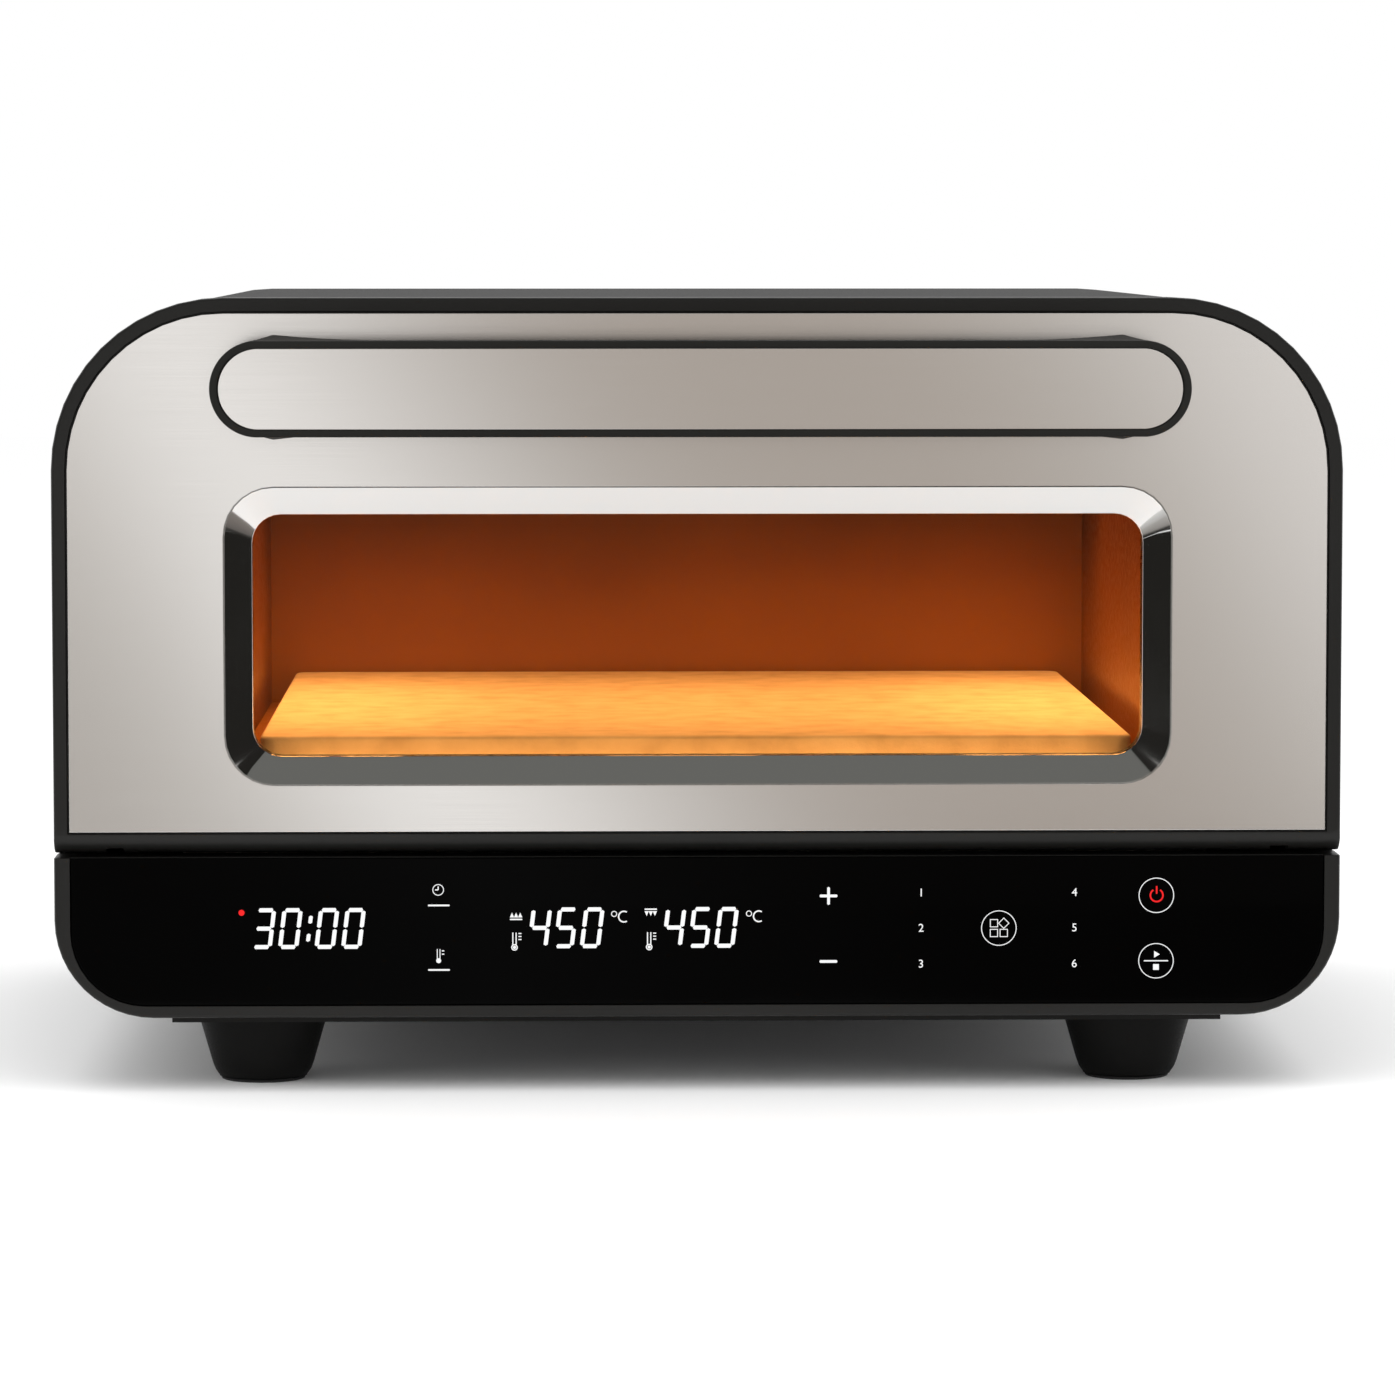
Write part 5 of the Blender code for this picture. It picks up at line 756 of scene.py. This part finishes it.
handle_black = new_finish("handle_black", (0.014, 0.0138, 0.0125), 0.5, Specular_IOR_Level=0.05)
add_grain(handle_black, 1600, (0.42, 0.56), bump=0.10, depth=0.00005)
add_mottle(handle_black, 9, [(0.0125, 0.0122, 0.0110), (0.0155, 0.0152, 0.0140)])
BAR_LENGTH, BAR_HEIGHT, BAR_THICKNESS = 0.3506, 0.0344, 0.014
INLAY_LENGTH, INLAY_HEIGHT, INLAY_SET, INLAY_SHEET = 0.3444, 0.0290, 0.0006, 0.0012
INLAY_PLAY, INLAY_EDGE, BAR_EDGE, POST_EDGE = 0.0002, 0.0002, 0.0009, 0.0012
handle_low, handle_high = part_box("handle_body")
skin_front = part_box("door_skin")[0].y
bar_level = (handle_low.z + handle_high.z) / 2
bar_back = handle_low.y + BAR_THICKNESS
bar = round_bar(BAR_LENGTH, BAR_HEIGHT, BAR_THICKNESS, (0, handle_low.y + BAR_THICKNESS / 2, bar_level))
pick_faces(bar, lambda face: face.normal.y < -0.9)
bpy.ops.mesh.inset(thickness=(BAR_HEIGHT - INLAY_HEIGHT) / 2)
bpy.ops.mesh.extrude_region_move(TRANSFORM_OT_translate={"value": (0, INLAY_SET + INLAY_SHEET, 0)})
bpy.ops.object.mode_set(mode="OBJECT")
round_edges(bar, BAR_EDGE, 3)

POST_OUTER, POST_LEAN = 0.1640, 0.0090
POST_INNER, POST_ARCH, ARCH_CURVE = 0.0920, 0.0180, 0.7
POST_HALF, SWELL_ABOVE, SWELL_BELOW = 0.0166, 0.0023, 0.0030
SWELL_CURVE, SWELL_FALL, POST_ROOT, POST_CUTS = 1.3, 2.0, 0.002, 15
post_depth = skin_front - bar_back
handle_parts = [bar]
for side in (-1, 1):
    bpy.ops.object.select_all(action="DESELECT")
    bpy.ops.mesh.primitive_cube_add(size=1)
    post = bpy.context.active_object
    bpy.ops.object.mode_set(mode="EDIT")
    bpy.ops.mesh.subdivide(number_cuts=POST_CUTS)
    bpy.ops.object.mode_set(mode="OBJECT")
    for point in post.data.vertices:
        inwards, back, up = point.co.x + 0.5, point.co.y + 0.5, point.co.z * 2
        outer = POST_OUTER - POST_LEAN * back
        inner = POST_INNER + POST_ARCH * back ** ARCH_CURVE
        most = SWELL_ABOVE if up > 0 else SWELL_BELOW
        swell = most * back ** SWELL_CURVE * (1 - inwards) ** SWELL_FALL
        across = outer + (inner - outer) * inwards
        depth = bar_back - POST_ROOT + (post_depth + POST_ROOT) * back
        point.co = (side * across, depth, bar_level + up * (POST_HALF + swell))
    bpy.ops.object.mode_set(mode="EDIT")
    bpy.ops.mesh.select_all(action="SELECT")
    bpy.ops.mesh.normals_make_consistent(inside=False)
    bpy.ops.object.mode_set(mode="OBJECT")
    round_edges(post, POST_EDGE, 3, 60)
    handle_parts.append(post)
bpy.ops.object.select_all(action="DESELECT")
for part in handle_parts:
    part.select_set(True)
bpy.context.view_layer.objects.active = bar
bpy.ops.object.join()
settle(bar, "moulded_handle", "door", handle_black)
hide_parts("handle_body")

inlay = round_bar(INLAY_LENGTH, INLAY_HEIGHT - INLAY_PLAY, INLAY_SHEET,
                  (0, handle_low.y + INLAY_SET + INLAY_SHEET / 2, bar_level))
round_edges(inlay, INLAY_EDGE)
settle(inlay, "brushed_inlay", "door", brushed_face)
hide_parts("handle_inlay")
for side in ("left", "right"):
    dress("handle_screw_" + side, "pan_screw_" + side, "door", zinc, 0.0002)


# Stage: a plain pale floor under an even white surround.
# Both are white to the camera and in reflections, and the floor keeps the oven's shadow.
def seen_ray(tree):
    """One where a ray comes from the camera, a reflection or a pane, and nought for stray light."""
    path = tree.nodes.new("ShaderNodeLightPath")
    first = tree.nodes.new("ShaderNodeMath")
    first.operation = "MAXIMUM"
    second = tree.nodes.new("ShaderNodeMath")
    second.operation = "MAXIMUM"
    tree.links.new(path.outputs["Is Camera Ray"], first.inputs[0])
    tree.links.new(path.outputs["Is Glossy Ray"], first.inputs[1])
    tree.links.new(first.outputs[0], second.inputs[0])
    tree.links.new(path.outputs["Is Transmission Ray"], second.inputs[1])
    return second.outputs[0]


surround = bpy.data.worlds.new("white_surround")
surround.use_nodes = True
bpy.context.scene.world = surround
surround.node_tree.nodes["Background"].inputs["Color"].default_value = (1, 1, 1, 1)

FLOOR_LIFT, FLOOR_RADIUS = 0.01, 7.0
floor_white = new_finish("floor_white", (0.98, 0.98, 0.98), 0.9, Specular_IOR_Level=0.0,
                         Emission_Color=(1, 1, 1, 1))
floor_tree = floor_white.node_tree
lift = floor_tree.nodes.new("ShaderNodeMath")
lift.operation = "MULTIPLY"
lift.inputs[1].default_value = FLOOR_LIFT
floor_tree.links.new(seen_ray(floor_tree), lift.inputs[0])
floor_tree.links.new(lift.outputs[0], floor_tree.nodes["Principled BSDF"].inputs["Emission Strength"])
bpy.ops.object.select_all(action="DESELECT")
bpy.ops.mesh.primitive_circle_add(vertices=96, radius=FLOOR_RADIUS, fill_type="NGON")
floor = bpy.context.active_object
floor.name = "floor"
floor.data.materials.append(floor_white)


# Reflector cards: what the polished and brushed steel sees in front, overhead and beside it.
# They show in reflections only, and throw neither light nor shade.
FRONT_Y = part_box("door_frame")[0].y


def hang_card(name, width, height, location, turn, tones, slope=0.0):
    """A plain card with tones along its width, in metres from its middle, which may lean with height."""
    bpy.ops.object.select_all(action="DESELECT")
    bpy.ops.mesh.primitive_plane_add(size=1, location=location, rotation=turn)
    card = bpy.context.active_object
    card.name = name
    card.scale = (width, height, 1)
    bpy.ops.object.transform_apply(location=False, rotation=False, scale=True)
    grey = bpy.data.materials.new(name)
    grey.use_nodes = True
    nodes, links = grey.node_tree.nodes, grey.node_tree.links
    nodes.remove(nodes["Principled BSDF"])
    glow = nodes.new("ShaderNodeEmission")
    place = nodes.new("ShaderNodeTexCoord")
    along = nodes.new("ShaderNodeVectorMath")
    along.operation = "DOT_PRODUCT"
    along.inputs[1].default_value = (1, slope, 0)
    span = nodes.new("ShaderNodeMapRange")
    first, last = tones[0][0], tones[-1][0]
    span.inputs["From Min"].default_value = first
    span.inputs["From Max"].default_value = last
    ramp = new_ramp(nodes, [((position - first) / (last - first), tone) for position, tone in tones])
    links.new(place.outputs["Object"], along.inputs[0])
    links.new(along.outputs["Value"], span.inputs["Value"])
    links.new(span.outputs["Result"], ramp.inputs["Fac"])
    links.new(ramp.outputs["Color"], glow.inputs["Color"])
    links.new(glow.outputs["Emission"], nodes["Material Output"].inputs["Surface"])
    card.data.materials.append(grey)
    card.visible_camera = False
    card.visible_diffuse = False
    card.visible_transmission = False
    card.visible_shadow = False


CARD_MIDDLE, CARD_DISTANCE, CARD_HEIGHT, CARD_LEAN = 0.04, 0.6, 0.55, 0.58
SHADE, LIGHT = (0.455, 0.41, 0.37), (1.0, 0.99, 0.975)
OVERHEAD, BESIDE, FAR = (0.175, 0.175, 0.165), (0.02, 0.019, 0.017), (0.06, 0.057, 0.052)
hang_card("front_card", 0.80, CARD_HEIGHT,
          (CARD_MIDDLE, FRONT_Y - CARD_DISTANCE, CARD_HEIGHT / 2), (math.radians(90), 0, 0),
          [(-0.44, (0.47, 0.44, 0.41)), (-0.37, (0.61, 0.585, 0.555)), (-0.285, LIGHT),
           (-0.245, (0.95, 0.935, 0.915)), (-0.175, (0.67, 0.645, 0.62)), (-0.11, (0.49, 0.45, 0.415)),
           (-0.055, SHADE), (0.06, SHADE), (0.13, (0.53, 0.495, 0.46)), (0.21, (0.75, 0.725, 0.70)),
           (0.34, (0.93, 0.91, 0.89))], CARD_LEAN)
hang_card("floor_card", 1.8, 0.46, (CARD_MIDDLE, FRONT_Y - 0.47, 0.002), (0, 0, 0),
          [(-0.90, BESIDE), (-0.55, FAR), (-0.44, (0.36, 0.34, 0.32)), (-0.25, (0.50, 0.48, 0.46)),
           (-0.12, (0.85, 0.84, 0.83)), (-0.02, (0.55, 0.52, 0.50)), (0.10, (0.26, 0.23, 0.21)),
           (0.44, (0.16, 0.145, 0.135)), (0.55, FAR), (0.90, BESIDE)])
hang_card("ceiling_card", 3.0, 2.4, (0, FRONT_Y - 1.0, 1.6), (math.radians(180), 0, 0),
          [(-1.5, OVERHEAD), (1.5, OVERHEAD)])
for side in (-1, 1):
    hang_card("side_card", 1.5, 1.6, (side * 0.9, FRONT_Y - 1.1, 0.8),
              (math.radians(90), 0, math.radians(90)), [(-0.75, BESIDE), (0.75, BESIDE)])


# Lamps: one broad soft lamp above and in front, two weaker ones at the sides and one behind.
# Inside, three warm strips under the chamber's ceiling stand for the bulb and the hot tubes,
# and a faint one at the mouth lights the stone's front edge.
def hang_lamp(name, width, height, power, location, aim=None, colour=(1, 1, 1), spread=180):
    """A broad soft lamp aimed at a point, or straight down."""
    light = bpy.data.lights.new(name, "AREA")
    light.shape = "RECTANGLE"
    light.size = width
    light.size_y = height
    light.energy = power
    light.color = colour
    light.spread = math.radians(spread)
    lamp = bpy.data.objects.new(name, light)
    lamp.location = location
    if aim:
        lamp.rotation_euler = (Vector(aim) - Vector(location)).to_track_quat("-Z", "Y").to_euler()
    lamp.visible_camera = False
    lamp.visible_glossy = False
    bpy.context.scene.collection.objects.link(lamp)


hang_lamp("top_lamp", 2.2, 2.2, 22, (0.0, -1.3, 2.1), (0, 0, 0.1))
hang_lamp("left_lamp", 1.2, 0.8, 7, (-1.9, -0.9, 0.6), (0, 0, 0.05))
hang_lamp("right_lamp", 1.2, 0.8, 7, (1.9, -0.9, 0.6), (0, 0, 0.05))
hang_lamp("back_lamp", 1.6, 1.6, 5, (0.6, 2.2, 1.6), (0, 0, 0.15))
WARM, STRIP_HEIGHT = (1.0, 0.60, 0.27), 0.236
for across, power in ((-0.145, 0.44), (0.0, 0.20), (0.145, 0.47)):
    hang_lamp("chamber_lamp", 0.06, 0.25, power, (across, 0.0, STRIP_HEIGHT), colour=WARM, spread=160)
GLOW_FROM, GLOW_TO = (0, FRONT_Y + 0.0265, 0.111), (0, FRONT_Y + 0.034, 0.122)
hang_lamp("mouth_glow", 0.30, 0.006, 0.065, GLOW_FROM, GLOW_TO, WARM)


# Camera: straight on, a little above the oven's top and left of its middle, with a long lens.
# Its place and lens come from the edges of the oven in the photograph.
CAMERA_X, CAMERA_HEIGHT, CAMERA_DISTANCE = -0.055, 0.3145, 2.2
CAMERA_YAW, CAMERA_PITCH, LENS = 0.0248, 0.0768, 156.3
view = bpy.data.cameras.new("photo_view")
view.lens = LENS
view.sensor_width = 36
view.clip_start = 0.01
camera = bpy.data.objects.new("photo_view", view)
camera.location = (CAMERA_X, FRONT_Y - CAMERA_DISTANCE, CAMERA_HEIGHT)
camera.rotation_euler = (math.pi / 2 - CAMERA_PITCH, 0, -CAMERA_YAW)
bpy.context.scene.collection.objects.link(camera)
bpy.context.scene.camera = camera
bpy.context.scene.view_settings.view_transform = "Standard"
